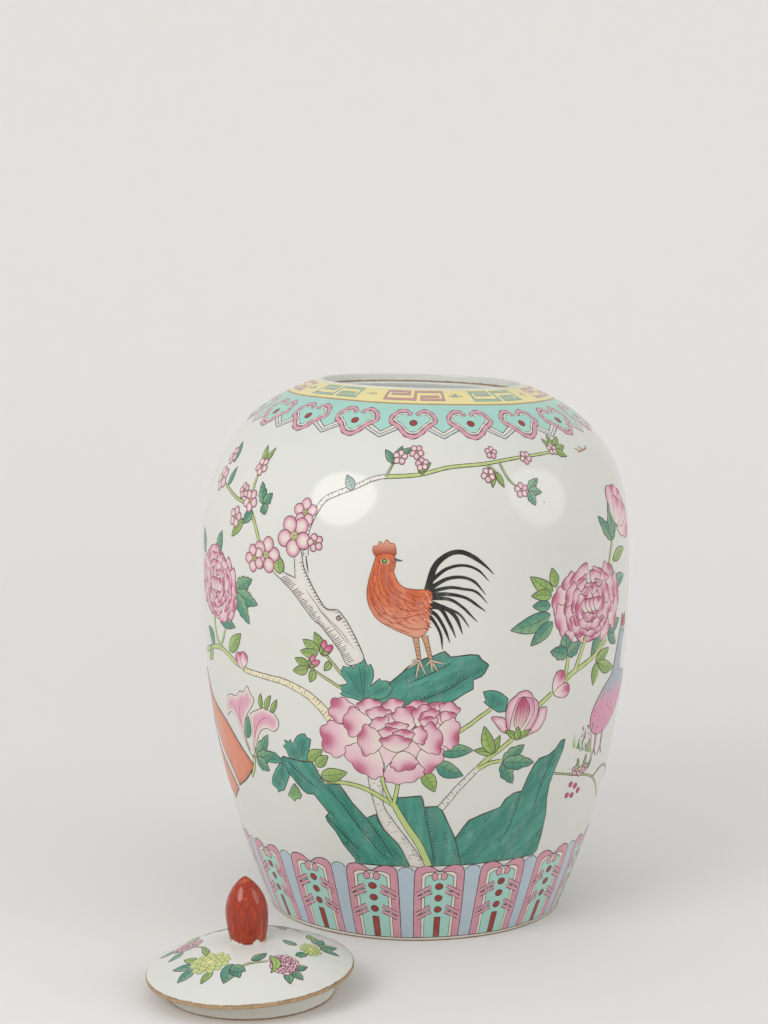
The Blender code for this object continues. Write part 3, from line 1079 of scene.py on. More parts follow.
def peony(canvas, e, centre, across, upwards, deep=0.85):
    """A full peony: rings of ruffled petals, the smallest in the middle."""
    draw = canvas.random
    rings = ((1.0, 13, 0.46), (0.82, 12, 0.43), (0.64, 10, 0.4), (0.46, 8, 0.36), (0.28, 6, 0.32))
    for share, count, size in rings:
        offset = draw.uniform(0, TURN)
        order = list(range(count))
        draw.shuffle(order)
        for i in order:
            bearing = offset + i / count * TURN + draw.uniform(-0.16, 0.16)
            out = share * draw.uniform(0.88, 1.08)
            tip = around(centre, bearing, across * out, upwards * out)
            near = max(0.0, share - 0.4)
            root = around(centre, bearing, across * near, upwards * near)
            petal(canvas, e, root, tip, across * size * draw.uniform(0.9, 1.15), draw.choice((2, 3, 3)), deep)
    for i in range(4):
        root = (centre[0] + (i - 1.5) * across * 0.11, centre[1] - upwards * 0.2)
        tip = (root[0] + (i - 1.5) * 0.4, centre[1] + upwards * 0.16)
        petal(canvas, e, root, tip, across * 0.24, 1, deep * 1.2)


def leaf(canvas, e, root, tip, width, tone, bend=0.0, teeth=0):
    """A pointed leaf with its ribs."""
    long, turn = heading(root, tip)
    dark = mixed(tone, e.outline, 0.55)
    share = np.linspace(0, 1, 17 if not teeth else 6 * teeth + 1)
    half = width / 2 * np.sin(math.pi * share**0.78) ** 0.9
    if teeth:
        half = half * (0.82 + 0.24 * np.abs(np.sin(share * math.pi * teeth)))
    bow = bend * long * np.sin(math.pi * share)
    upper = np.stack([share * long, bow + half], 1)
    lower = np.stack([share * long, bow - half], 1)[1:-1][::-1]
    outline = moved(np.concatenate([upper, lower]), root, turn)
    light = mixed(tone, e.light_leaf, 0.35)
    across = left_of(facing(turn))
    start = np.array(root, float)
    wash = lambda points: faded(smoothstep(0.5 + (points - start) @ across / width), mixed(tone, (0.02, 0.1,
        0.08), 0.22), light)
    canvas.fill(outline, wash)
    canvas.stroke(outline, 0.52, e.outline, closed=True)
    rib = moved(np.stack([share * long * 0.94, bow * 0.94], 1), root, turn)
    canvas.stroke(rib, 0.5, dark, 0.9, 0.2)
    if width > 5:
        for place in (0.28, 0.5, 0.7):
            for side in (1, -1):
                base = (place * long, bend * long * math.sin(math.pi * place))
                reach = width * 0.36 * math.sin(math.pi * place**0.78)
                end = (base[0] + long * 0.13, base[1] + side * reach)
                canvas.line(moved([base, end], root, turn), 0.38, dark, 0.9, 0.2)


def leaves(canvas, e, listed):
    """Leaves as (root, tip, width, tone)."""
    for root, tip, width, tone in listed:
        leaf(canvas, e, root, tip, width, tone, canvas.random.uniform(-0.06, 0.06))


def fan(canvas, e, root, tips, width, tone, teeth=3):
    """Leaves spreading from one root."""
    for tip in tips:
        leaf(canvas, e, root, tip, width, tone, canvas.random.uniform(-0.05, 0.05), teeth)


def cut_leaf(canvas, e, outline, root, tips, tone):
    """A lobed leaf from its outline, with a rib to each tip."""
    outline = np.array(outline, float)
    wash = edged(outline, mixed(tone, e.light_teal, 0.3), mixed(tone, e.deep_teal, 0.45), 5)
    canvas.shape(finer(outline, 2.0), wash, 0.58, e.outline)
    for tip in tips:
        canvas.line([root, mixed(root, tip, 0.55), mixed(root, tip, 0.9)], 0.4, mixed(e.deep_teal,
            e.outline, 0.5))


def bough(canvas, e, points, widths, tone, hatch=0.0):
    """A stem between two fine lines, hatched across where the bark is pale."""
    left, right = canvas.tapered(points, widths, tone)
    for edge in (left, right):
        canvas.stroke(edge, 0.48, e.outline, 0.8, 0.6)
    if hatch:
        for i in range(1, len(left) - 1, 2):
            reach = canvas.random.uniform(0.25, hatch)
            start, other = (left[i], right[i]) if canvas.random.random() < 0.6 else (right[i], left[i])
            canvas.line([start, start + (other - start) * reach], 0.34, e.outline, 0.9, 0.2)


def blossom(canvas, e, centre, radius, turn=0.0):
    """A five-petalled blossom, pale in the middle of each petal."""
    for i in range(5):
        bearing = turn + i * TURN / 5
        spot = around(centre, bearing, radius * 0.57, radius * 0.57)
        outline = ring(spot, radius * 0.43, radius * 0.4, 16, bearing)
        wash = edged(outline, mixed(e.pink, e.rose, 0.3), mixed(e.blush, e.cream, 0.7), radius * 0.26)
        canvas.shape(outline, wash, 0.5, mixed(e.outline, e.rose, 0.15))
    canvas.shape(ring(centre, radius * 0.2, radius * 0.2, 10), e.light_leaf, 0.4, e.outline)
    for i in range(5):
        bearing = turn + (i + 0.5) * TURN / 5
        end = around(centre, bearing, radius * 0.4, radius * 0.4)
        canvas.line([centre, end], 0.34, mixed(e.outline, e.rose, 0.4), 0.9, 0.9)


def bud(canvas, e, root, tip, width):
    """A closed bud on two small sepals."""
    long, turn = heading(root, tip)
    for side in (1, -1):
        end = moved([(long * 0.2, side * width * 0.22)], root, turn)[0]
        outline = moved(ring((0, 0), long * 0.52, width * 0.32, 16), end, turn + side * 0.25)
        outline = outline + (np.array(tip) - np.array(root)) * 0.22
        canvas.shape(outline, edged(outline, e.rose, e.pink, width * 0.3), 0.38, mixed(e.outline, e.rose,
            0.3))
    for side in (1, -1):
        end = moved([(long * 0.42, side * width * 0.5)], root, turn)[0]
        leaf(canvas, e, root, tuple(end), width * 0.4, e.leaf)


def scatter(outline, count, draw):
    """Points drawn at random inside an outline."""
    low, high = outline.min(0), outline.max(0)
    points = []
    while len(points) < count:
        spot = np.array([[draw.uniform(low[0], high[0]), draw.uniform(low[1], high[1])]])
        if inside(spot, outline)[0] and distance_to(spot, outline)[0] > 1.2:
            points.append(spot[0])
    return points


def rock(canvas, e, outline, creases, slant, hatches):
    """A teal rock with darker brush marks along its slant, creases, and rows of short dark ticks."""
    outline = finer(np.array(outline, float), 2.2)
    along = facing(slant)
    side = left_of(along)

    def wash(points):
        broad = 0.3 * np.sin((points @ side) * 0.33 + 1.1)
        shade = 0.5 + broad + 0.2 * np.sin(points @ (side * 0.9 + along * 0.22))
        dark = mixed(e.teal, e.deep_teal, 0.55)
        return faded(np.clip(shade, 0, 1), dark, mixed(e.teal, e.light_teal, 0.25))

    canvas.fill(outline, wash)
    for spot in scatter(outline, int(hatches * 0.8), canvas.random):
        reach = canvas.random.uniform(3, 7)
        ends = np.array([spot - along * reach / 2, spot + along * reach / 2])
        if inside(ends, outline).all():
            tone = mixed(e.teal, canvas.random.choice((e.deep_teal, e.deep_teal, e.light_teal)), 0.45)
            canvas.line(ends, canvas.random.uniform(0.5, 1.1), tone, 0.2, 0.2)
    ink = mixed(e.deep_teal, e.black, 0.7)
    for spot in scatter(outline, hatches // 6, canvas.random):
        tick = facing(slant + 1.15)
        for i in range(canvas.random.randint(4, 7)):
            here = spot + along * 1.7 * i
            below, above = (canvas.random.uniform(0.9, 1.9) for _ in range(2))
            ends = np.array([here - tick * below, here + tick * above])
            if inside(ends, outline).all():
                canvas.line(ends, 0.38, ink, 0.7, 0.2)
    for crease in creases:
        canvas.line(crease, 0.65, ink)
        for here in flow(crease, step=2.4)[1:-1]:
            ends = np.array([here, here + side * canvas.random.uniform(1.6, 3.4)])
            if inside(ends, outline).all():
                canvas.line(ends, 0.4, ink, 0.9, 0.2)
    canvas.stroke(outline, 0.75, mixed(e.outline, e.black, 0.3), closed=True)


# ---------------------------------------------------------------- the garden at the front

def rock_garden(e):
    """Rocks, the trunks and stems that rise between them, and their leaves."""
    canvas = Canvas("rock_garden", seed=21)
    bough(canvas, e, [(100, 112), (118, 108), (150, 100), (178, 80)], [1.0, 1.2, 1.2], e.light_leaf)
    rock(canvas, e, [(-15.5, 176.5), (-8, 183), (-4, 187), (0, 188.5), (5, 191.5), (10, 193), (14.5, 195),
        (17.5, 196), (21, 192.5), (27, 193), (33, 193.5), (38, 193), (40, 190), (43.5, 187.5),
        (44.5, 186.5), (42, 182), (40, 180), (35, 178), (35, 172.5), (30, 170), (22, 165), (12, 163),
        (5, 160), (-5, 153), (-20, 158), (-27, 165), (-19, 172)], [[(2, 166), (20, 173), (33, 181)],
        [(-6, 176), (8, 182), (22, 189)]], 0.5, 46)
    rock(canvas, e, [(-13, 104), (4, 105.5), (6, 98), (16.5, 98.5), (28, 76), (34, 57), (10, 57), (0, 80),
        (-13, 97)], [[(5, 105), (8, 88), (12, 70), (14, 58)]], -1.35, 26)
    rock(canvas, e, [(28, 76), (33, 83), (37, 88), (45, 91), (59, 95), (62, 100), (68, 103.5), (74, 104),
        (77, 112), (81, 120), (85, 124), (92, 125), (98, 128), (102, 133), (106, 133.5), (105, 126),
        (101, 117), (97, 105), (97, 95), (99, 85), (99, 70), (98, 60), (95, 57), (34, 57)], [[(74, 104),
        (71, 92), (67, 78), (61, 70)], [(98, 126), (90, 108), (86, 90)]], 0.85, 60)
    bough(canvas, e, [(17, 97), (22, 103), (28, 110), (35, 117), (40, 122)], [4.6, 4, 3.4], e.bark, 0.8)
    bough(canvas, e, [(40, 122), (48, 129), (57, 135), (64, 140)], [3.2, 2.6], e.light_leaf)
    bough(canvas, e, [(41, 122), (48, 125), (56, 126)], [2.6, 2.0], e.light_leaf)
    trunk = [(-29.5, 121), (-29.5, 110), (-28, 103), (-26, 95), (-24, 88), (-18, 78), (-10, 69), (-5, 60),
        (-3, 57), (7, 57), (2, 66), (-5, 76), (-14, 88), (-20, 97), (-21, 103), (-20.5, 115), (-20, 128)]
    outline = flow(trunk, True)
    canvas.shape(outline, edged(outline, mixed(e.bark, e.outline, 0.2), e.bark, 3), 0.5, e.outline)
    for spot in scatter(outline, 44, canvas.random):
        canvas.line([spot, spot + np.array([2.0, 0.6])], 0.3, e.outline, 0.9, 0.3)
    rock(canvas, e, [(-94, 122), (-91, 124), (-88, 123.5), (-75, 122.5), (-69, 123.8), (-66, 119),
        (-63, 113.5), (-61, 110.5), (-50, 110.5), (-42, 99), (-33, 89.5), (-26, 92.5), (-25, 89), (-21, 82),
        (-12, 73), (-9, 68), (-4, 57.5), (-4, 57), (-44, 57), (-44, 60), (-52, 70), (-57, 79), (-62, 84.5),
        (-63, 87.5), (-60, 90.5), (-70, 102), (-75, 101.5), (-78, 103), (-87, 112), (-92, 117)],
        [[(-60, 109), (-50, 98), (-42, 87), (-33, 76), (-20, 60)], [(-62, 88), (-52, 78), (-40, 66)],
        [(-33, 89), (-25, 78), (-15, 62)], [(-88, 121), (-76, 112), (-66, 106)]], -0.85, 74)
    bough(canvas, e, [(10, 57), (3, 72), (-5, 84), (-11, 94), (-14, 100)], [5, 4.4, 3.6], e.light_leaf)
    bough(canvas, e, [(-14, 99), (-22, 104), (-32, 109), (-42, 111.5), (-52, 112), (-61, 111)], [3.2, 2],
        e.light_leaf)
    bough(canvas, e, [(-15, 100), (-20, 112), (-21.5, 124), (-22, 131)], [2.4, 2.2], e.light_leaf)
    bough(canvas, e, [(-14, 100), (-12, 108), (-10.5, 116)], [2.6, 2.2], e.light_leaf)
    bough(canvas, e, [(-122, 176), (-118, 174.5), (-95, 173), (-85, 172), (-70, 167), (-60, 160),
        (-50, 149)], [3.0, 3.5, 4.6, 6], mixed(e.bark, e.yellow, 0.45), 0.9)
    bough(canvas, e, [(26, 146), (33, 150), (40, 155), (47, 159.5)], [2.6, 2.0], e.light_leaf)
    cut_leaf(canvas, e, [(-33, 165), (-38, 166.5), (-42, 166.8), (-46, 168.5), (-44.5, 170), (-46, 174),
        (-43, 174.5), (-41, 175.5), (-45.5, 181), (-43.5, 185.8), (-40, 185), (-38.5, 186.5), (-37, 184.5),
        (-35.5, 188.5), (-34, 190), (-33, 187.5), (-31, 192.5), (-30, 190), (-28.5, 186.5), (-26.5, 188),
        (-25, 184), (-25, 180), (-27, 174), (-24, 177), (-21, 179.5), (-20.5, 178), (-17.5, 178),
        (-15, 177.5), (-16, 176), (-13.5, 174.5), (-14, 172), (-17, 168), (-22, 166.5), (-30, 167)],
        (-31, 166.5), [(-46, 171), (-43, 185), (-34, 189), (-30, 191), (-15, 175)], e.teal)
    cut_leaf(canvas, e, [(47, 160), (42, 164), (43.5, 165), (41.5, 170.5), (46, 171), (49, 170.5),
        (53, 169), (58, 165), (56.5, 157), (52, 157)], (48, 160), [(43, 169), (48, 170), (56, 164)], e.teal)
    teal, green = e.teal, e.leaf
    leaves(canvas, e, [((15, 134), (37, 134), 9, teal), ((13, 127), (31, 118), 10, teal), ((5, 121),
        (13, 108), 9, green), ((50, 131), (37, 134), 5, green), ((50, 131), (54, 142.5), 5, green),
        ((50, 131), (43, 149), 8, green), ((-72, 124), (-60, 132), 7, green), ((-66, 121), (-56.5, 128.5),
        7, green), ((-63, 115), (-52, 113), 6, green), ((-63, 115), (-44, 119), 9, green)])
    fan(canvas, e, (57, 125), [(72, 134.5), (66, 110), (81, 122)], 9.5, teal)
    cut_leaf(canvas, e, [(-90.5, 131), (-88, 132), (-89, 135), (-85, 134), (-84, 136), (-82, 133),
        (-80, 136.5), (-78, 139), (-75, 140.5), (-72, 141), (-71, 139), (-68, 138), (-69, 134), (-71, 128),
        (-73, 123), (-86, 123.5), (-88, 128)], (-80, 122), [(-89, 133), (-84, 134), (-78, 137), (-71, 139),
        (-69, 135)], teal)
    cut_leaf(canvas, e, [(-94, 122), (-98, 125), (-104, 125.5), (-105, 123.5), (-107, 121), (-105, 119.5),
        (-106, 118), (-100, 118), (-95, 119), (-92, 120)], (-92, 121), [(-104, 125), (-106, 120)], teal)
    cut_leaf(canvas, e, [(-95, 119), (-100, 114), (-105, 107), (-106, 103), (-102, 101), (-101, 98.5),
        (-98, 100), (-95, 101), (-91, 107), (-88, 112), (-91, 118)], (-92, 119), [(-104, 104), (-100, 101),
        (-94, 106)], teal)
    cut_leaf(canvas, e, [(-85, 107), (-88, 104), (-92, 98), (-90, 97), (-87, 94.5), (-85, 97), (-82, 97),
        (-80, 100), (-82, 104)], (-84, 107), [(-90, 98), (-87, 97), (-82, 99)], green)
    return canvas


def front_peony(e):
    """The full peony above the rocks, petal by petal from the back."""
    canvas = Canvas("front_peony", seed=22)
    canvas.fill(flow([(-33, 158), (-10, 160), (20, 160), (24, 140), (8, 130), (-14, 126), (-34, 134)],
        True), e.blush)
    petals(canvas, e, [((-35, 141), (-61.5, 139), 21, 4, 1.0), ((-33, 154), (-54, 161), 15, 4, 1.0),
        ((-26, 151), (-45, 152), 17, 3, 0.9), ((-27, 156), (-28.5, 167), 14, 3, 1.0), ((-12, 157),
        (-14, 167.5), 12, 3, 1.0), ((2, 157), (0, 166.5), 12, 3, 0.9), ((13, 157), (10, 165), 12, 3, 1.0),
        ((19, 155), (22, 165), 12, 3, 1.0), ((-22, 152.5), (-22.5, 162), 14, 3, 1.0), ((-12, 150.5),
        (-12, 158.8), 12, 3, 1.0), ((4, 149), (1, 157), 9, 3, 0.8), ((-3, 148), (-4, 155.5), 9, 2, 1.0),
        ((-5, 147), (-6, 163), 15, 4, 0.9), ((5, 147), (6, 164), 14, 3, 1.0), ((11, 150.5), (7, 160.5), 12,
        4, 1.0), ((18, 150.5), (15.5, 158.5), 7, 1, 1.0), ((19, 150.5), (20.5, 160), 9, 2, 1.0),
        ((-19.5, 146.5), (-24, 155), 13, 3, 0.9), ((-11, 146.5), (-11, 153), 13, 3, 1.0), ((9, 148.5),
        (8, 156.5), 10, 3, 1.0), ((13, 146), (28, 145), 18, 4, 0.9), ((3, 135), (14, 124), 19, 4, 0.8),
        ((1, 140), (17, 144), 19, 3, 0.95), ((-9, 131), (-6, 113.5), 24, 6, 0.45), ((-25, 137),
        (-37, 120.5), 26, 5, 0.75), ((-8, 134.5), (-6, 121.5), 16, 4, 1.1), ((-20, 140), (-36, 141), 18, 3,
        0.9), ((-3, 144), (7.5, 145), 11, 3, 1.0), ((-16, 141.5), (-17, 149.8), 11, 3, 1.0), ((-7, 139.5),
        (-7, 148.5), 12, 3, 1.05), ((-12, 133.8), (-12, 144.8), 18, 3, 1.15),])
    return canvas


def peony_bud(e):
    """The big bud right of the peony, with the stem and pointed buds beyond it."""
    canvas = Canvas("peony_bud", seed=23)
    bough(canvas, e, [(99, 169), (101, 172), (108, 176), (120, 180), (130, 184), (143, 191)], [3.5, 2.5],
        e.light_leaf)
    bough(canvas, e, [(100, 172), (101, 178), (102, 186)], [3, 2.4], e.light_leaf)
    bough(canvas, e, [(109, 177), (114, 188), (118, 197)], [3, 2.4], e.light_leaf)
    bough(canvas, e, [(80, 158), (84, 161), (90, 165)], [3, 2.6], e.light_leaf)
    for root, tip in (((91, 165), (98, 178)), ((91.5, 164.5), (105, 166))):
        petal(canvas, e, root, tip, 8, 1, 1.25)
    for outline in ([(47.5, 154), (53, 154), (57, 152), (58, 147), (60, 143), (55, 144.5), (51, 149)],
        [(81, 156), (84, 157), (87, 156), (86, 149), (82, 143), (76, 141), (72, 140), (77, 147),
        (80, 152)]):
        outline = flow(outline, True)
        canvas.shape(outline, edged(outline, e.pink, mixed(e.blush, e.cream), 2.2), 0.45, e.outline)
    body = flow([(57, 157), (59, 163), (64, 167), (65, 168), (70, 169), (74, 167), (76, 164), (80, 160),
        (80, 153), (77, 146), (71, 140), (64, 140), (60, 143), (57.5, 150)], True)
    canvas.shape(body, edged(body, e.pink, e.blush, 4), 0.5, e.outline)
    for outline, tone in (([(61, 142), (60.5, 150), (63, 160), (67, 165), (75, 163), (77, 155), (72, 146),
        (67, 141)], e.pink), ([(63, 150), (65, 160), (69, 165), (73.5, 157), (71, 149), (66, 144)],
        e.rose)):
        outline = flow(outline, True)
        wash = lambda points, tone=tone: faded(smoothstep((points[:, 1] - 142) / 21), e.cream, tone)
        canvas.shape(outline, wash, 0.45, e.outline)
    for x in (64.5, 67, 69.5, 72):
        canvas.line([(66.5 + (x - 68) * 0.4, 146), (x, 154), (67.5 + (x - 68) * 0.6, 163)], 0.32, e.rose)
    leaves(canvas, e, [((66, 139), (57, 145), 4, e.leaf), ((66, 139), (76, 144), 4, e.leaf), ((66, 138),
        (66, 147), 4.5, e.leaf)])
    return canvas


# ---------------------------------------------------------------- the cockerel

def rooster(e):
    """The cockerel on the rock."""
    canvas = Canvas("cockerel", 1.6, 31)
    for points, width in (([(7, 232), (11, 246), (18, 253), (26, 255), (34, 252), (42, 246), (47, 241)],
        2.9), ([(9, 238), (18, 245), (28, 247), (37, 244), (44, 237)], 1.6), ([(9, 234), (18, 239),
        (27, 240), (35, 237), (42, 229)], 1.8), ([(9, 232), (20, 234), (28, 233), (36, 231), (43, 224)],
        1.6), ([(9, 230), (20, 230), (30, 227.5), (38, 222), (42, 219)], 1.8), ([(8, 228), (20, 227),
        (28, 222), (33, 217), (37, 213)], 1.7), ([(8, 226), (18, 222), (26, 218), (32, 210)], 1.5),
        ([(6, 224), (17, 222), (24, 216), (28, 206)], 2.4), ([(5, 222), (14, 222), (20, 213), (24, 204)],
        2.0), ([(6, 221), (12, 218), (17, 210), (20.5, 201)], 1.8), ([(5, 221), (11, 214), (15, 206),
        (16, 197)], 1.6),):
        canvas.tapered(points, [width * 1.5, width * 1.25, width, width * 0.9, 0.3], e.black)
    for hip, foot in (((0, 206), (2.5, 190)), ((5.5, 205.5), (9.5, 190))):
        canvas.tapered([hip, mixed(hip, foot), foot], [4.2, 2.2, 1.9], mixed(e.tan, e.orange, 0.25))
        for side in (-1, 1):
            canvas.line([(hip[0] + side * 1.7, hip[1]), (foot[0] + side, foot[1])], 0.35, e.outline, 0.8, 0.8)
        for i in range(5):
            level = foot[1] + 2 + i * 2.3
            across = foot[0] + (hip[0] - foot[0]) * (level - foot[1]) / (hip[1] - foot[1])
            canvas.line([(across - 0.9, level), (across + 0.9, level - 0.5)], 0.3, e.outline, 0.9, 0.9)
    for foot, toes in (((2.5, 190.5), [(-4.5, 186), (0.5, 180.5), (6, 182.5), (-2, 190.5)]), ((9.5, 190.5),
        [(13.5, 184), (17, 188.5), (10, 183.5), (6.5, 188)])):
        for toe in toes:
            for width, tone in ((1.9, e.outline), (1.2, mixed(e.tan, e.cream, 0.3))):
                canvas.tapered([foot, mixed(foot, toe, 0.5), toe], [width, width * 0.9, width * 0.35], tone)
    body = flow([(-23.5, 252), (-24, 250), (-27, 240), (-28.5, 232), (-28, 225), (-25, 218.5), (-21, 214),
        (-14, 210), (-7, 207), (0, 204.5), (5, 206), (7, 209), (8, 212), (8.5, 216), (7, 219), (7, 221),
        (9, 225), (10, 229), (8, 232.5), (0, 233), (-6, 234), (-10, 237), (-12, 241), (-13, 245),
        (-12, 248), (-11.5, 250.5), (-14, 253.5), (-19, 254)], True)

    def feathers(points):
        low = smoothstep((232 - points[:, 1]) / 26)
        warm = faded(0.5 + 0.5 * np.sin(points[:, 0] * 0.5 + points[:, 1] * 0.2), e.orange, mixed(e.orange,
            e.brick, 0.4))
        belly = mixed(e.orange, e.cream, 0.42)
        return warm * (1 - 0.62 * low[:, None]) + np.array(belly) * 0.62 * low[:, None]

    canvas.shape(body, feathers, 0.5, mixed(e.brick, e.outline, 0.45))
    stroke_tone = mixed(e.brick, e.iron_red, 0.25)
    for points in ([(-24, 247), (-25, 238), (-22, 228), (-15, 221)], [(-22, 247), (-22.5, 238), (-19, 229),
        (-11, 222)], [(-20, 246), (-20, 238), (-16, 230), (-7, 223)], [(-18, 245), (-17.5, 238), (-13, 231),
        (-4, 225)], [(-16, 243), (-15, 238), (-10.5, 232.5), (-2, 228)], [(-26, 240), (-26.5, 231),
        (-22, 222), (-15, 216)], [(-26.5, 232), (-24, 222), (-17, 215), (-9, 212)], [(-22, 226), (-16, 218),
        (-8, 216), (5, 219)], [(-14, 226), (-7, 221), (0, 220.5), (7, 223)], [(-9, 229), (-2, 225),
        (4, 225), (9, 228)], [(-12, 215), (-6, 211), (0, 209.5), (6, 210)], [(-18, 213), (-10, 209.5),
        (-3, 207)], [(-6, 232), (0, 229), (5, 229)]):
        canvas.line(points, 0.55, stroke_tone, 0.3, 0.2)
    for i in range(30):
        root = (canvas.random.uniform(4, 8), canvas.random.uniform(208, 231))
        reach = canvas.random.uniform(1.6, 3.6)
        end = (root[0] + reach, root[1] - reach * canvas.random.uniform(0.3, 1.3))
        canvas.line([root, end], 0.75, canvas.random.choice((e.orange, e.brick, mixed(e.orange, e.cream))),
            0.9, 0.1)
    for spot in scatter(body, 260, canvas.random):
        if spot[1] > 213:
            slope = -1.35 + 0.9 * smoothstep((236 - spot[1]) / 16)
            reach = canvas.random.uniform(1.6, 3.4)
            end = spot + facing(slope) * reach
            canvas.line([spot, end], 0.5, mixed(e.brick, e.orange, canvas.random.uniform(0, 0.45)), 0.5, 0.2)
    comb = flow([(-24, 252.5), (-25.5, 255), (-25, 258), (-22.5, 258.3), (-21.5, 260.8), (-19, 259.3),
        (-17.5, 262), (-15.2, 260), (-13, 259.8), (-11.8, 256.5), (-12, 253), (-17, 254), (-21, 253.2)],
        True)
    canvas.shape(comb, lambda points: faded(smoothstep((points[:, 1] - 252) / 9), e.brick, mixed(e.orange,
        e.cream, 0.3)), 0.45, e.brick)
    canvas.shape(flow([(-12.4, 249), (-14.6, 249.3), (-15.6, 246), (-13.8, 243.2), (-12, 246)], True),
        mixed(e.orange, e.brick, 0.6), 0.4, e.brick)
    canvas.fill(ring((-18, 249.3), 2.7, 1.7), mixed(e.cream, e.orange, 0.55))
    canvas.fill(ring((-18.2, 249.4), 1.75, 1.45), e.black)
    canvas.fill(ring((-18.1, 249.5), 1.05, 0.85), e.leaf)
    canvas.fill([(-12.8, 251.6), (-8.2, 250.2), (-7.6, 249.5), (-12.6, 249.6)], mixed(e.black, e.pale_blue,
        0.35))
    canvas.line([(-12.8, 250.6), (-7.6, 249.8)], 0.45, e.black, 0.9, 0.3)
    return canvas


# ---------------------------------------------------------------- the flowering plum

def plum_tree(e):
    """The pale trunk rising left, and the long branch that arches over the cockerel."""
    canvas = Canvas("plum_tree", seed=41)
    canvas.line([(-66, 240), (-68, 252), (-68, 265)], 0.9, e.outline)
    bough(canvas, e, [(-22, 299), (0, 301), (20, 306), (45, 308.5), (70, 312), (103, 315)], [2.4, 2.2, 2.0,
        1.6], e.light_leaf)
    bough(canvas, e, [(-68, 250), (-68, 265), (-60, 282), (-50, 288), (-40, 292), (-30, 297), (-21, 299.5)],
        [3.4, 3.0, 2.6], e.bark, 0.9)
    for points in ([(-21, 299), (-17, 308)], [(45, 308), (50, 305), (52, 302)], [(55, 310), (60, 298),
        (68, 291)]):
        bough(canvas, e, points, [1.3, 0.9], e.light_leaf)
    trunk = flow([(-40.5, 186.5), (-45, 194), (-50, 200.5), (-58, 209.5), (-62, 212), (-69, 219.5),
        (-77, 228), (-85, 234), (-93, 240), (-91, 243), (-83, 239), (-75, 236.5), (-75, 236.5), (-76, 253),
        (-71.5, 253), (-69, 243), (-64, 234), (-60, 227.5), (-55, 220.5), (-52, 219), (-47, 219.5),
        (-42, 214.5), (-38, 208), (-33, 198), (-31, 190)], True)
    canvas.shape(trunk, edged(trunk, mixed(e.bark, e.outline, 0.12), e.bark, 3), 0.55, e.outline)
    canvas.shape(ring((-46, 214.5), 1.6, 1.3), mixed(e.bark, e.outline, 0.6), 0.5, e.outline)
    for a in flow([(-41, 188), (-50, 201), (-62, 213), (-77, 228.5), (-86, 235)], step=1.25):
        reach = canvas.random.uniform(2.0, 5.5)
        canvas.line([a, a + np.array([reach, 0.8 + 0.3 * reach])], 0.42, e.outline, 0.9, 0.15)
    for a in flow([(-33, 199), (-39, 209), (-46, 218), (-56, 222), (-63, 233), (-70, 246)], step=2.4):
        canvas.line([a, a + np.array([-2.6, -0.6])], 0.4, e.outline, 0.9, 0.15)
    for points in ([(-36, 196), (-45, 207), (-57, 218), (-68, 231)], [(-40, 199), (-50, 210), (-60, 220)]):
        canvas.line(points, 0.4, e.outline, 0.2, 0.2)
    teal, green = e.teal, e.leaf
    leaves(canvas, e, [((-18, 307), (-12, 320), 5, teal), ((-17, 308), (-24, 317), 5, teal), ((-18, 311),
        (-4, 319), 5, teal), ((49, 305), (42, 299), 5, teal), ((52, 303), (56, 293), 4, green), ((49, 304),
        (48, 293), 4, green), ((2, 301), (3, 309), 5, green), ((0, 303), (8, 309), 4.5, green), ((-86, 238),
        (-88, 249), 8, green)])
    leaf(canvas, e, (-41, 290), (-47, 299), 6, mixed(e.pale_blue, e.teal, 0.45))
    fan(canvas, e, (73, 290), [(82, 298), (83, 289), (77, 281)], 6, teal)
    fan(canvas, e, (106, 316), [(99, 325), (117, 326), (119, 319), (116, 311), (107, 328)], 5.5, green)
    for x, y, size, turn in ((-71, 275, 8.5, 0.3), (-77, 261, 12.5, 0.9), (-98, 248, 11, 0.1), (-108, 245,
        8.5, 0.7), (-13, 312, 5.2, 0.2), (-2, 316, 5.2, 1.0), (2, 308, 4.6, 0.5), (51, 316, 4.6, 0.2), (46,
        301, 5, 0.8), (68, 291, 5, 0.4), (77, 312, 4.8, 0.9), (104, 317, 4.6, 0.3), (-62, 258, 5.5, 0.6)):
        blossom(canvas, e, (x, y), size, turn)
    for start, end in (((130, 316), (134, 314)), ((136, 317), (139, 314)), ((143, 314), (147, 317)),
        ((132, 313), (147, 315))):
        canvas.line([start, end], 1.1, mixed(e.ochre, e.iron_red, 0.35), 0.8, 0.3)
    for root, tip in (((-45, 181), (-58, 196)), ((-45, 172), (-67, 184))):
        bough(canvas, e, [root, mixed(root, tip, 0.5), tip], [1.5, 1.1], e.light_leaf)
    leaves(canvas, e, [((-58, 195), (-62, 205), 6, green), ((-59, 194), (-70, 200), 6.5, green),
        ((-60, 192), (-72, 193), 6, green), ((-66, 183), (-76, 188), 6, green), ((-67, 182), (-78, 180), 6,
        green), ((-63, 182), (-66, 174), 5, green), ((-52, 188), (-56, 182), 4.5, green)])
    bud(canvas, e, (-57, 192), (-52, 200), 7)
    bud(canvas, e, (-66, 184), (-60, 190), 6)
    return canvas


# ---------------------------------------------------------------- the sides and back

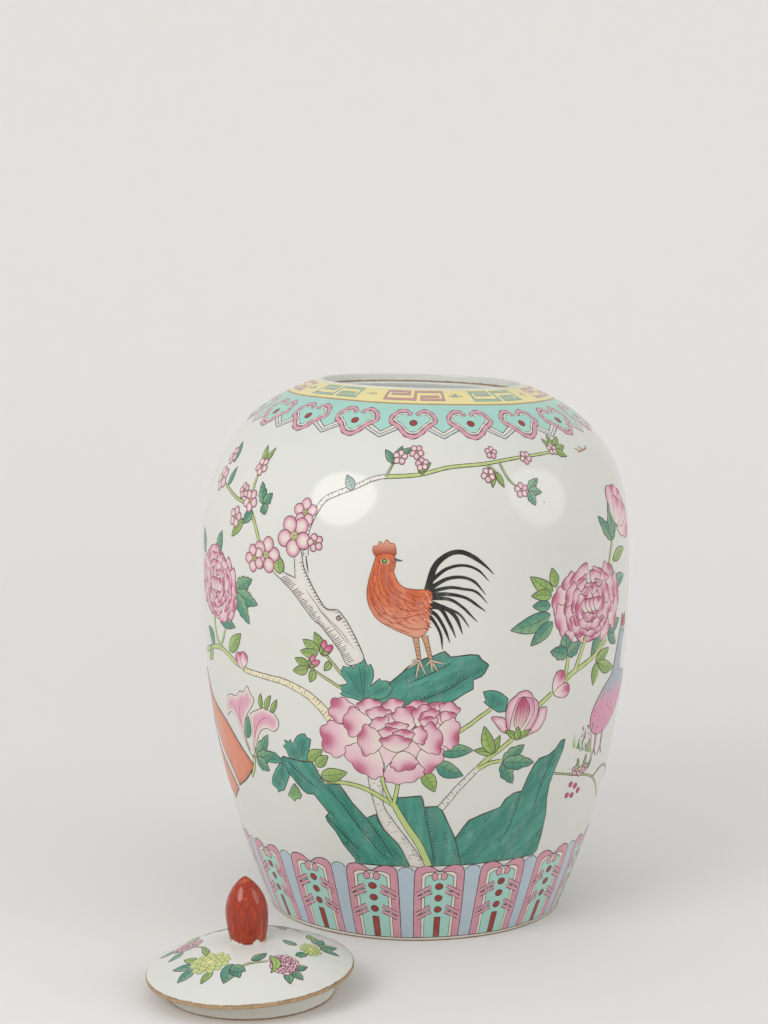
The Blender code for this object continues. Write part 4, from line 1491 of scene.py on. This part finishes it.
def right_side(e):
    """The peony, leaves and hen to the right."""
    canvas = Canvas("right_side", seed=51)
    teal, green = e.teal, e.leaf
    bough(canvas, e, [(130, 184), (140, 200), (144, 222), (144, 238), (149, 253)], [3, 2.6, 2], e.light_leaf)
    bough(canvas, e, [(149, 253), (153, 260), (158, 264)], [2, 1.6], e.light_leaf)
    bough(canvas, e, [(118, 197), (121, 204)], [2.4, 2], e.light_leaf)
    leaves(canvas, e, [((86, 214), (58, 206.5), 11, teal), ((88, 209), (72, 196), 9, teal), ((86, 219),
        (73, 220), 7, teal), ((88, 228), (71, 238), 8, green), ((87, 225), (72, 226), 7, green), ((90, 230),
        (87, 242), 7, green), ((133, 198), (124, 184), 8, teal), ((144, 196), (158, 186), 8, teal),
        ((144, 197), (163, 201), 9, teal), ((130, 179), (147, 185), 8, green), ((133, 178), (157, 171), 8,
        green), ((131, 178), (129, 164), 8, green), ((144, 238), (150, 221), 9, teal), ((149, 224),
        (171, 227), 9, teal), ((149, 240), (171, 245), 8, green)])
    fan(canvas, e, (101, 187), [(98, 205), (87, 191), (113, 194)], 9, teal)
    fan(canvas, e, (149, 253), [(132, 270), (148, 279), (155, 267)], 8.5, teal)
    for tip, width in (((157, 290), 18), ((170, 287), 15), ((186, 262), 20), ((180, 276), 17), ((166, 280),
        15)):
        petal(canvas, e, (157, 262), tip, width, 2, 0.9)
    peony(canvas, e, (123, 216), 36, 24)
    bough(canvas, e, [(150, 100), (165, 104), (185, 100), (205, 88)], [1.2, 1.4], e.light_leaf)
    for i in range(15):
        root = (116 + i * 1.7, 126 - i * 0.55)
        end = (root[0] + canvas.random.uniform(-3.5, 3.5), root[1] + canvas.random.uniform(5, 12))
        canvas.tapered([root, mixed(root, end), end], [1.1, 0.8, 0.2], canvas.random.choice((e.leaf,
            e.light_leaf, e.teal)))
    for x, y in ((118, 94), (124, 93), (120, 101), (126, 99), (131, 95)):
        canvas.shape(ring((x, y), 2.2, 1.8, 12), e.rose, 0.35, e.iron_red)
    for hip in ((142, 132), (152, 131)):
        for width, tone in ((2.4, e.outline), (1.6, e.pink)):
            canvas.tapered([hip, (hip[0] + 1, 120), (hip[0] - 3, 115)], [width, width, width * 0.4], tone)
        canvas.tapered([(hip[0] + 1, 120), (hip[0] + 5, 115)], [1.4, 0.4], e.outline)
    body = flow([(134, 150), (131, 142), (134, 134), (143, 130), (154, 131), (166, 136), (178, 144),
        (190, 156), (186, 164), (176, 166), (172, 172), (173, 184), (177, 192), (172, 198), (166, 194),
        (161, 182), (156, 168), (144, 160)], True)
    hen = lambda points: faded(smoothstep((points[:, 1] - 148) / 16), e.pink, mixed(e.pale_blue, e.black,
        0.25))
    canvas.shape(body, hen, 0.5, e.outline)
    for spot in scatter(body, 90, canvas.random):
        tone = mixed(e.outline, e.rose, 0.5) if spot[1] < 152 else mixed(e.outline, e.pale_blue, 0.3)
        canvas.line([spot, spot + np.array([1.6, -1.4])], 0.45, tone, 0.7, 0.2)
    for i in range(26):
        root = (canvas.random.uniform(124, 136), canvas.random.uniform(124, 142))
        canvas.line([root, (root[0] + canvas.random.uniform(-3, 3), root[1] - 3)], 0.5, mixed(e.outline,
            e.rose, 0.5))
    canvas.shape(flow([(168, 196), (170, 203), (173, 199), (176, 203), (178, 195)], True), e.iron_red, 0.4,
        e.brick)
    canvas.fill(ring((172, 192), 1.2, 1.1, 10), e.black)
    for x, y in ((122, 110), (128, 108.5), (134, 109.5)):
        blossom(canvas, e, (x, y), 3.6, x)
    leaves(canvas, e, [((125, 110), (123, 118), 3, green), ((131, 110), (133, 119), 3, green), ((137, 108),
        (142, 115), 3, teal)])
    return canvas


def left_side(e):
    """The peony, twigs and magnolias to the left."""
    canvas = Canvas("left_side", seed=61)
    teal, green = e.teal, e.leaf
    bough(canvas, e, [(-105, 240), (-105, 255), (-112, 268), (-117, 275), (-118, 288), (-117, 302)], [2.4,
        2, 1.4], e.light_leaf)
    bough(canvas, e, [(-117, 275), (-134, 278), (-150, 283), (-166, 287)], [1.8, 1.2], e.light_leaf)
    bough(canvas, e, [(-112, 268), (-124, 266)], [1.4, 1], e.light_leaf)
    fan(canvas, e, (-105, 277), [(-111, 290), (-99, 284), (-102, 271)], 7, teal)
    leaves(canvas, e, [((-114, 272), (-122, 264), 7, teal), ((-122, 266), (-133, 255), 7, green),
        ((-117, 301), (-112, 312), 5, green), ((-117, 301), (-122, 313), 5, green), ((-154, 298),
        (-160, 312), 8, teal), ((-150, 284), (-146, 296), 6, teal)])
    for x, y, size in ((-118, 278, 7), (-131, 267, 6.5), (-117, 299, 6), (-163, 287, 8), (-161, 302, 6),
        (-127, 283, 5)):
        blossom(canvas, e, (x, y), size, canvas.random.uniform(0, 1.2))
    bough(canvas, e, [(-118, 175.5), (-130, 178), (-140, 182), (-150, 184), (-165, 182), (-185, 176)], [3,
        2.6], e.light_leaf)
    bough(canvas, e, [(-150, 184), (-156, 192), (-158, 203)], [2.8, 2.4], e.light_leaf)
    bough(canvas, e, [(-150, 184), (-145, 190), (-141, 197)], [2, 1.6], e.light_leaf)
    leaves(canvas, e, [((-150, 204), (-128, 200), 9, teal), ((-137, 184), (-122, 197), 9, green),
        ((-160, 184), (-172, 194), 9, teal), ((-165, 182), (-176, 172), 8, green), ((-178, 240),
        (-186, 254), 10, teal), ((-150, 243), (-146, 257), 9, teal)])
    fan(canvas, e, (-127, 222), [(-110, 232), (-105, 217), (-113, 204)], 10.5, teal, 4)
    peony(canvas, e, (-153, 224), 31, 23)
    for root, tip in (((-121, 175), (-128, 184)), ((-121, 176), (-120, 186))):
        petal(canvas, e, root, tip, 7, 1, 1.2)
    band = mixed(e.orange, e.cream, 0.12)
    for outline in ([(-200, 163), (-178, 147), (-154, 137), (-138, 125), (-122, 112), (-122, 112),
        (-136, 101), (-152, 93), (-152, 93), (-159, 103), (-171.5, 112.5), (-180, 122), (-200, 140)],
        [(-200, 130), (-185, 112), (-166.5, 101), (-155, 90), (-155, 90), (-172, 80), (-172, 80),
        (-192, 92), (-215, 112)]):
        outline = flow(outline, True)
        canvas.shape(outline, edged(outline, mixed(band, e.brick, 0.4), band, 5), 0.9, e.black)
        for spot in scatter(outline, 40, canvas.random):
            canvas.line([spot, spot + np.array([2.4, -2.2])], 0.5, mixed(band, e.brick, 0.6), 0.7, 0.2)
    bough(canvas, e, [(-120, 120), (-123, 111), (-128, 104)], [2.2, 2], e.light_leaf)
    leaf(canvas, e, (-126, 130), (-121, 145), 8, teal)
    fan(canvas, e, (-118, 118), [(-103, 136), (-100, 124), (-106, 112)], 9, teal)
    for outline in ([(-149, 141), (-148, 148), (-145, 154), (-139, 156), (-133, 156), (-128, 160),
        (-124, 160), (-119, 164.5), (-116, 160), (-113, 157), (-116, 152), (-122, 146), (-126, 140),
        (-128, 130), (-124, 120), (-122, 118), (-128, 125), (-131, 132), (-134, 138), (-138, 143),
        (-143, 144)], [(-119, 146), (-117, 148), (-110, 151), (-105, 153), (-100, 152), (-96, 151),
        (-92, 146), (-94, 141), (-98, 139), (-104, 140), (-110, 137), (-114, 131), (-118, 124), (-121, 118),
        (-119, 130), (-118, 140)]):
        outline = flow(outline, True)
        canvas.shape(outline, edged(outline, e.cream, mixed(e.blush, e.pink, 0.75), 3.8), 0.5, e.outline)
    for points in ([(-124, 122), (-129, 134), (-131, 146), (-126, 156)], [(-129, 136), (-137, 148),
        (-142, 150)], [(-119, 124), (-114, 138), (-106, 146), (-99, 147)], [(-117, 132), (-115, 143)]):
        canvas.line(points, 0.5, e.rose, 0.9, 0.2)
    leaves(canvas, e, [((-103, 152), (-97, 162), 4, green), ((-98, 151), (-92, 160), 4, green),
        ((-107, 152), (-106, 162), 4, green)])
    return canvas


def back_side(e):
    """A second spray of peonies on a rock, plum branches above, for the side away from the front."""
    canvas = Canvas("back_side", seed=71)
    teal, green = e.teal, e.leaf
    far = girth() / 2
    at = lambda points: [(x + far, y) for x, y in points]
    rock(canvas, e, at([(-70, 57), (-74, 76), (-66, 92), (-58, 108), (-46, 118), (-38, 108), (-30, 112),
        (-18, 96), (-6, 88), (6, 100), (20, 94), (34, 80), (52, 74), (64, 57)]), [at([(-48, 112), (-44, 92),
        (-34, 74)]), at([(6, 96), (12, 80), (26, 68)])], -0.9, 90)
    bough(canvas, e, at([(-22, 92), (-14, 120), (-20, 146), (-8, 176), (-12, 200)]), [8, 6, 5, 4, 3],
        e.bark, 0.8)
    bough(canvas, e, at([(-14, 130), (8, 142), (30, 150), (52, 166)]), [4, 3, 2.4], e.light_leaf)
    bough(canvas, e, at([(-16, 150), (-38, 162), (-60, 168)]), [3.6, 2.4], e.light_leaf)
    bough(canvas, e, at([(-12, 196), (-30, 222), (-34, 250), (-10, 276), (30, 292), (70, 300)]), [3, 2.4, 2,
        1.4], e.bark, 0.7)
    bough(canvas, e, at([(-34, 246), (-60, 268), (-84, 280)]), [2, 1.3], e.light_leaf)
    bough(canvas, e, at([(8, 284), (22, 270), (40, 262)]), [1.8, 1.2], e.light_leaf)
    for root, tips, width, tone in (((50, 164), ((72, 176), (68, 152), (54, 184)), 11, teal), ((-58, 168),
        ((-80, 182), (-78, 160), (-64, 190)), 11, teal), ((10, 142), ((16, 124), (32, 128)), 10, green),
        ((-36, 160), ((-46, 142), (-30, 140)), 9, green), ((-6, 178), ((14, 182), (10, 196)), 10, teal),
        ((-14, 120), ((-34, 126), (-30, 114)), 8, teal), ((70, 300), ((82, 308), (84, 298)), 6, green),
        ((-84, 280), ((-96, 288), (-94, 276)), 6, teal), ((30, 292), ((32, 304), (40, 300)), 5, teal),
        ((40, 262), ((50, 268), (50, 258)), 5, green)):
        fan(canvas, e, (root[0] + far, root[1]), at(tips), width, tone)
    peony(canvas, e, (far + 30, 172), 29, 22)
    peony(canvas, e, (far - 40, 186), 27, 20)
    peony(canvas, e, (far - 2, 216), 25, 18)
    petal(canvas, e, (far - 62, 134), (far - 68, 148), 10, 1, 1.2)
    petal(canvas, e, (far - 61, 134), (far - 56, 149), 10, 1, 1.2)
    bough(canvas, e, at([(-50, 112), (-58, 124), (-62, 134)]), [2.4, 2], e.light_leaf)
    for x, y, size in ((-34, 252, 7), (-60, 268, 8), (-84, 281, 7), (-10, 277, 8), (12, 286, 6), (30, 293,
        7), (52, 298, 6), (40, 263, 7), (70, 301, 6), (-46, 262, 6)):
        blossom(canvas, e, (x + far, y), size, canvas.random.uniform(0, 1.2))
    return canvas


def rear_sprays(e):
    """A smaller spray on each rear quarter."""
    canvas = Canvas("rear_sprays", seed=73)
    far = girth() / 2
    at = lambda points: [(x + far, y) for x, y in points]
    for x, side in ((-166, 1), (158, -1)):
        rock(canvas, e, at([(x - 34, 57), (x - 30, 72), (x - 16, 84), (x - 6, 76), (x + 8, 92),
            (x + 22, 78), (x + 30, 57)]), [at([(x + 6, 88), (x + 10, 72), (x + 18, 62)])], 0.9, 40)
        bough(canvas, e, at([(x + 4, 84), (x - 6 * side, 112), (x + 4 * side, 148), (x - 8 * side, 196),
            (x, 232)]), [5, 4, 3, 2.4], e.bark, 0.7)
        bough(canvas, e, at([(x - 4 * side, 128), (x + 16 * side, 142), (x + 26 * side, 160)]), [2.6, 2],
            e.light_leaf)
        fan(canvas, e, (x + far, 232), at([(x - 10, 250), (x + 8, 252), (x + 18, 240)]), 9, e.teal)
        fan(canvas, e, (x - 4 * side + far, 116), at([(x - 26 * side, 124), (x - 20 * side, 106)]), 10,
            e.leaf)
        fan(canvas, e, (x + 2 * side + far, 168), at([(x + 20 * side, 178), (x - 18 * side, 176)]), 10,
            e.teal)
        peony(canvas, e, (x + far - 2 * side, 208), 25, 19)
        peony(canvas, e, (x + far + 28 * side, 166), 19, 15)
    return canvas


# ---------------------------------------------------------------- the lid

def lid_spray(e):
    """Sprays of flowers round the dome."""
    canvas = Canvas("lid_spray", 1.8, 81)
    teal, green = e.teal, e.leaf
    for points in ([(-1, -32), (4, -30), (13, -28)], [(-22, -17), (-25, -6), (-33, 2)], [(30, -20),
        (34, -14), (35, -8)], [(30, 20), (22, 30), (8, 34)], [(-28, 22), (-14, 33), (6, 36)], [(24, -38),
        (28, -32), (22, -26)]):
        bough(canvas, e, points, [1.5, 1.0], e.light_leaf)
    leaves(canvas, e, [((-30, -25), (-42, -21), 6, teal), ((-29, -28), (-38, -35), 7.5, teal), ((-28, -20),
        (-36, -14), 5, green), ((-22, -17), (-26, -5), 4, green), ((-7, -30), (-11, -45), 9.5, teal),
        ((-6, -31), (-2, -42), 7, teal), ((-8, -33), (1, -37), 7, teal), ((-18, -34), (-24, -42), 5, green),
        ((4, -28), (12, -20), 5.5, teal), ((28, -32), (35, -27), 5, teal), ((27, -34), (33, -39), 5.5,
        teal), ((24, -36), (26, -44), 5, teal), ((28, -6), (20, -1), 5.5, teal), ((34, -14), (28, -19), 5,
        teal), ((40, 0), (50, 9), 7, teal), ((38, 2), (42, 14), 7, teal), ((41, -2), (52, -3), 6, teal),
        ((36, 8), (34, 18), 6, green), ((-35, 12), (-32, 24), 7, green), ((-42, 6), (-53, 8), 6.5, teal),
        ((-38, -2), (-46, -8), 6, teal), ((8, 34), (-2, 27), 6, teal), ((16, 30), (20, 20), 5, green),
        ((-14, 33), (-20, 24), 6, teal), ((-2, 38), (-8, 48), 6.5, green), ((14, 36), (22, 46), 6.5, teal)])
    for centre, across, upwards in (((-20, -25), 12, 10), ((36, -7), 6.5, 8)):
        for share, count in ((1.0, 12), (0.74, 9), (0.46, 6)):
            for i in range(count):
                bearing = (i + canvas.random.uniform(-0.15, 0.15)) / count * TURN
                tip = around(centre, bearing, across * share, upwards * share)
                root = (centre[0] + (tip[0] - centre[0]) * 0.3, centre[1] + (tip[1] - centre[1]) * 0.3)
                outline = moved(ring((0, 0), math.dist(root, tip) / 2, across * 0.2, 14), mixed(root, tip),
                    math.atan2(tip[1] - root[1], tip[0] - root[0]))
                tone = mixed(e.light_leaf, e.yellow, canvas.random.uniform(0.1, 0.6))
                canvas.shape(outline, edged(outline, mixed(tone, e.leaf, 0.4), tone, across * 0.12), 0.32,
                    mixed(e.outline, e.leaf, 0.5))
        canvas.shape(ring(centre, across * 0.2, upwards * 0.2, 12), e.yellow, 0.32, mixed(e.outline, e.leaf,
            0.5))
    peony(canvas, e, (22, -29), 8.5, 9, 0.5)
    peony(canvas, e, (-36, 6), 9, 8, 0.6)
    peony(canvas, e, (6, 42), 9, 7.5, 0.6)
    leaf(canvas, e, (14, -22), (15, -38), 5, green, 0.22)
    return canvas


# ---------------------------------------------------------------- operators

FLOOR_CORNER = 0.014  # inside radius where the wall meets the floor
COLLAR_HEIGHT = 0.013
GLAZED_LIP = 0.0042  # how far the glaze runs down the inside of the lip
BARE_FOOT = 0.0009  # height of the bare clay that the jar stands on
BARE_FLANGE = 0.0011


def jar_form():
    return JarForm(bpy.context.scene.ginger_jar)


def lid_form():
    return LidForm(bpy.context.scene.ginger_lid)


def palette():
    return bpy.context.scene.ginger_enamels


def glaze_material():
    return shared_material("glaze_over_clay", lambda: glaze_over_clay(palette()))


class GINGER_OT_jar_glaze(bpy.types.Operator):
    """Turn the jar's glazed wall and base"""

    bl_idname = "ginger.jar_glaze"
    bl_label = "Jar Glaze"

    def execute(self, context):
        form = jar_form()
        shape = form.shape
        floor = shape.foot_height + shape.floor
        start = np.interp(shape.foot_height, form.profile[1], form.profile[2])
        along = np.linspace(start, form.collar_along, 130)
        radius, height, across, up = on_profile(form.profile, along)
        inner = np.stack([radius - shape.wall * across, height - shape.wall * up], 1)
        inner = inner[(inner[:, 0] > form.collar_radius) & (inner[:, 1] > floor + FLOOR_CORNER + 0.002)]
        corner = rounded((inner[0, 0] - FLOOR_CORNER + 0.0005, floor + FLOOR_CORNER), FLOOR_CORNER, 0, -90, 9)
        outline = [(0, shape.foot_height), (shape.foot_radius - shape.foot_width, shape.foot_height)]
        outline += list(zip(radius, height))
        outline += [(form.collar_radius, inner[-1, 1])] + inner[::-1].tolist() + corner + [(0, floor)]
        mesh = turned("jar_glaze", outline, form, glaze_material(), lambda r, z: 9 + 0 * r)
        new_piece("jar_glaze", mesh, "jar", "painted_glaze", "lower_body", "upper_body")
        return {"FINISHED"}


class GINGER_OT_foot_ring(bpy.types.Operator):
    """Turn the foot ring, bare where it stands"""

    bl_idname = "ginger.foot_ring"
    bl_label = "Foot Ring"

    def execute(self, context):
        form = jar_form()
        shape = form.shape
        heights = spread(0.0012, shape.foot_height, 7)
        outer = [(np.interp(z, form.profile[1], form.profile[0]), z) for z in heights]
        inner = shape.foot_radius - shape.foot_width
        outline = [(inner + 0.0015, 0), (outer[0][0] - 0.0014, 0), (outer[0][0] - 0.0004, 0.0003)] + outer
        outline += [(inner, shape.foot_height), (inner, 0.0015)]
        mesh = turned("foot_ring", outline, form, glaze_material(), lambda r, z: (z - BARE_FOOT) / MM)
        new_piece("foot_ring_glaze", mesh, "jar", "bare_porcelain", "foot_ring")
        return {"FINISHED"}


class GINGER_OT_mouth_lip(bpy.types.Operator):
    """Turn the pale lip round the mouth"""

    bl_idname = "ginger.mouth_lip"
    bl_label = "Mouth Lip"

    def execute(self, context):
        form = jar_form()
        shape = form.shape
        top = form.lip_height()
        outer = form.collar_radius + 0.0001
        outline = ring_outline(shape.mouth_radius, outer, top - COLLAR_HEIGHT, top, EDGE)
        mesh = turned("mouth_lip", outline, form, glaze_material(), lambda r, z: (z - top + GLAZED_LIP) / MM)
        new_piece("mouth_lip", mesh, "jar", "glaze", "mouth_rim")
        return {"FINISHED"}


class GINGER_OT_lid_ledge(bpy.types.Operator):
    """Turn the ledge inside the mouth"""

    bl_idname = "ginger.lid_ledge"
    bl_label = "Lid Ledge"

    def execute(self, context):
        form = jar_form()
        shape = form.shape
        top = form.lip_height() - shape.seat_depth
        outline = ring_outline(shape.seat_radius, shape.mouth_radius, top - shape.seat_thickness, top, 0.001)
        mesh = turned("lid_ledge", outline, form, glaze_material(), lambda r, z: 0.3 + 0 * r)
        new_piece("lid_ledge", mesh, "jar", "bare_porcelain", "lid_seat")
        return {"FINISHED"}


class GINGER_OT_lid_cap(bpy.types.Operator):
    """Turn the lid's dome with its bare edge"""

    bl_idname = "ginger.lid_cap"
    bl_label = "Lid Cap"

    def execute(self, context):
        form = lid_form()
        shape = form.shape
        hollow = shape.flange_radius - shape.flange_wall
        across = np.linspace(0, hollow, 40)
        under = list(zip(across, form.dome_height(across) - shape.cap_wall))
        edge = shape.flange_height + shape.cap_edge
        side = [(hollow + 0.0006, shape.flange_height)]
        side += rounded((shape.cap_radius - 0.0009, shape.flange_height + 0.0009), 0.0009, -90, 0)
        across = np.linspace(shape.cap_radius - 0.0007, 0, 110)
        dome = list(zip(across, form.dome_height(across)))
        outline = under + side + [(shape.cap_radius, edge - 0.0006)] + dome
        glazed = lambda r, z: np.where(r > hollow, (z - edge - 0.0001) / MM, 4)
        mesh = turned("lid_cap", outline, form, glaze_material(), glazed)
        new_piece("lid_cap_glaze", mesh, "lid", "painted_glaze", "lid_cap")
        return {"FINISHED"}


class GINGER_OT_lid_flange(bpy.types.Operator):
    """Turn the flange under the cap"""

    bl_idname = "ginger.lid_flange"
    bl_label = "Lid Flange"

    def execute(self, context):
        form = lid_form()
        shape = form.shape
        inner = shape.flange_radius - shape.flange_wall
        outline = ring_outline(inner, shape.flange_radius, 0, shape.flange_height, EDGE)
        mesh = turned("lid_flange", outline, form, glaze_material(), lambda r, z: (z - BARE_FLANGE) / MM)
        new_piece("lid_flange_glaze", mesh, "lid", "glaze", "lid_flange")
        return {"FINISHED"}


class GINGER_OT_finial(bpy.types.Operator):
    """Turn the bud finial"""

    bl_idname = "ginger.finial"
    bl_label = "Bud Finial"

    def execute(self, context):
        form = lid_form()
        shape = form.shape
        base = float(form.dome_height(0))
        low = np.linspace(0, shape.finial_waist, 30)
        narrowing = (1 - low / shape.finial_waist) ** 2
        below = shape.finial_radius - (shape.finial_radius - shape.finial_base) * narrowing
        share = np.sin(np.linspace(0, math.pi / 2, 60))[1:]
        above = shape.finial_radius * (1 - share**2) ** (1 / shape.finial_fullness)
        high = shape.finial_waist + (shape.finial_height - shape.finial_waist) * share
        above[-1] = 0
        outline = [(0, base - 0.0012), (shape.finial_base, base - 0.0012)]
        outline += list(zip(below, base + low)) + list(zip(above, base + high))
        material = shared_material("brushed_red", lambda: brushed_red(palette()))
        mesh = turned("bud_finial", outline, form, material, lambda r, z: (z - base) / MM)
        new_piece("bud_finial", mesh, "lid", "iron_red", "lid_finial")
        return {"FINISHED"}


class GINGER_OT_stage(bpy.types.Operator):
    """Set up the backdrop, the lamps and the camera"""

    bl_idname = "ginger.stage"
    bl_label = "Stage"

    def execute(self, context):
        studio = bpy.context.scene.ginger_studio
        self.make_backdrop(studio)
        self.make_camera(studio)
        self.make_world()
        for name, flat, away, size, power in LAMPS:
            self.make_lamp(name, flat, away, size, power)
        bpy.context.scene.view_settings.view_transform = "Standard"
        return {"FINISHED"}

    def make_backdrop(self, studio):
        """A level floor that curves up into a low wall all round."""
        radius, sweep, top, facets = studio.backdrop_radius, 0.9, 1.7, 96
        profile = [(radius * i / 12, 0) for i in range(1, 12)]
        profile += rounded((radius, sweep), sweep, -90, 0, 24) + [(radius + sweep, top)]
        mesh = bpy.data.meshes.new("backdrop")
        shell = bmesh.new()
        rows = []
        for x, z in profile:
            turns = [TURN * i / facets for i in range(facets)]
            rows.append([shell.verts.new((x * math.cos(a), x * math.sin(a), z)) for a in turns])
        centre = shell.verts.new((0, 0, 0))
        for i in range(facets):
            j = (i + 1) % facets
            shell.faces.new((centre, rows[0][i], rows[0][j]))
            for low, high in zip(rows, rows[1:]):
                shell.faces.new((low[i], high[i], high[j], low[j]))
        for face in shell.faces:
            face.smooth = True
        shell.to_mesh(mesh)
        shell.free()
        mesh.materials.append(paper(studio))
        backdrop = bpy.data.objects.new("backdrop", mesh)
        bpy.context.scene.collection.objects.link(backdrop)

    def make_camera(self, studio):
        camera = bpy.data.objects.new("camera", bpy.data.cameras.new("camera"))
        camera.data.lens = studio.lens
        camera.location = JAR_AXIS + Vector((0, -studio.camera_distance, studio.camera_height))
        camera.rotation_euler = (math.pi / 2 - studio.camera_tilt, 0, studio.camera_turn)
        bpy.context.scene.collection.objects.link(camera)
        bpy.context.scene.camera = camera

    def make_world(self):
        world = bpy.data.worlds.new("soft_room")
        world.use_nodes = True
        background = world.node_tree.nodes["Background"]
        background.inputs["Color"].default_value = (0.97, 0.98, 1.0, 1)
        background.inputs["Strength"].default_value = 0.73
        bpy.context.scene.world = world

    def make_lamp(self, name, flat, away, size, power):
        """A round lamp whose reflection the camera sees at a flat point of the jar."""
        form = jar_form()
        here = np.array([flat, (flat[0] + 0.5, flat[1]), (flat[0], flat[1] + 0.5)], float)
        spot, right, above = [Vector(point) for point in form.place(here, 0)]
        normal = (right - spot).cross(above - spot).normalized()
        view = (bpy.context.scene.camera.location - spot).normalized()
        towards = 2 * normal.dot(view) * normal - view
        lamp = bpy.data.objects.new(name, bpy.data.lights.new(name, "AREA"))
        lamp.data.shape = "DISK"
        lamp.data.size = size
        lamp.data.energy = power
        lamp.location = spot + towards * away
        lamp.rotation_euler = towards.to_track_quat("Z", "Y").to_euler()
        bpy.context.scene.collection.objects.link(lamp)


class GINGER_OT_borders(bpy.types.Operator):
    """Paint the fret, ruyi and lappet borders"""

    bl_idname = "ginger.borders"
    bl_label = "Borders"

    def execute(self, context):
        e = palette()
        rose, green = mixed(e.band_pink, e.outline, 0.08), mixed(e.turquoise, e.teal, 0.3)
        pairs = FRET_COUNT // 2
        pitch = girth() / FRET_COUNT
        pair = fret_sector(e, "fret_border", (rose, green))
        paint_repeated(pair, pairs, -7 - pairs * pitch, 2 * pairs / FRET_COUNT)
        paint_repeated(fret_sector(e, "fret_join", (rose,)), 1, -7 + pairs * pitch)
        paint_repeated(ruyi_sector(e), RUYI_COUNT, -6.5)
        paint_repeated(lappet_sector(e), LAPPET_COUNT, 18.4)
        return {"FINISHED"}


class GINGER_OT_front_garden(bpy.types.Operator):
    """Paint the rocks, stems and leaves at the front, the big peony and the bud"""

    bl_idname = "ginger.front_garden"
    bl_label = "Front Garden"

    def execute(self, context):
        e = palette()
        paint_jar(rock_garden(e))
        paint_jar(peony_bud(e), 0.04)
        paint_jar(front_peony(e), 0.08)
        return {"FINISHED"}


class GINGER_OT_cockerel(bpy.types.Operator):
    """Paint the cockerel on his rock"""

    bl_idname = "ginger.cockerel"
    bl_label = "Cockerel"

    def execute(self, context):
        paint_jar(rooster(palette()), 0.12)
        return {"FINISHED"}


class GINGER_OT_plum_tree(bpy.types.Operator):
    """Paint the flowering plum over the cockerel"""

    bl_idname = "ginger.plum_tree"
    bl_label = "Plum Tree"

    def execute(self, context):
        paint_jar(plum_tree(palette()), 0.06)
        return {"FINISHED"}


class GINGER_OT_side_flowers(bpy.types.Operator):
    """Paint the flowers on the left, on the right and at the back"""

    bl_idname = "ginger.side_flowers"
    bl_label = "Side Flowers"

    def execute(self, context):
        e = palette()
        paint_jar(left_side(e), 0.02)
        paint_jar(right_side(e), 0.1)
        paint_jar(back_side(e), 0.05)
        paint_jar(rear_sprays(e), 0.03)
        return {"FINISHED"}


class GINGER_OT_lid_flowers(bpy.types.Operator):
    """Paint the flowers on the lid"""

    bl_idname = "ginger.lid_flowers"
    bl_label = "Lid Flowers"

    def execute(self, context):
        lay(lid_spray(palette()).mesh(0.0), lid_form(), "lid")
        return {"FINISHED"}


# name, flat point where it glints, distance, diameter, watts
LAMPS = [
    ("key_lamp", (-47, 286), 1.5, 0.98, 9.0),
    ("side_lamp", (80, 288), 1.6, 1.04, 4.8),
]

PIECES = [
    GINGER_OT_jar_glaze,
    GINGER_OT_foot_ring,
    GINGER_OT_mouth_lip,
    GINGER_OT_lid_ledge,
    GINGER_OT_lid_cap,
    GINGER_OT_lid_flange,
    GINGER_OT_finial,
    GINGER_OT_stage,
    GINGER_OT_borders,
    GINGER_OT_front_garden,
    GINGER_OT_cockerel,
    GINGER_OT_plum_tree,
    GINGER_OT_side_flowers,
    GINGER_OT_lid_flowers,
]


class GINGER_PT_panel(bpy.types.Panel):
    """The ginger jar's pieces, in the order they are made"""

    bl_idname = "GINGER_PT_panel"
    bl_label = "Ginger Jar"
    bl_space_type = "VIEW_3D"
    bl_region_type = "UI"
    bl_category = "Ginger Jar"

    def draw(self, context):
        for piece in PIECES:
            self.layout.operator(piece.bl_idname)


GROUPS = {
    "ginger_jar": JarShape,
    "ginger_lid": LidShape,
    "ginger_enamels": Enamels,
    "ginger_studio": Studio,
}


def register():
    for group in GROUPS.values():
        bpy.utils.register_class(group)
    for name, group in GROUPS.items():
        setattr(bpy.types.Scene, name, bpy.props.PointerProperty(type=group))
    for piece in PIECES:
        bpy.utils.register_class(piece)
    bpy.utils.register_class(GINGER_PT_panel)


def unregister():
    bpy.utils.unregister_class(GINGER_PT_panel)
    for piece in reversed(PIECES):
        bpy.utils.unregister_class(piece)
    for name, group in GROUPS.items():
        delattr(bpy.types.Scene, name)
        bpy.utils.unregister_class(group)


def main():
    register()
    for piece in PIECES:
        getattr(bpy.ops.ginger, piece.bl_idname.split(".")[1])()


if __name__ == "__main__":
    main()
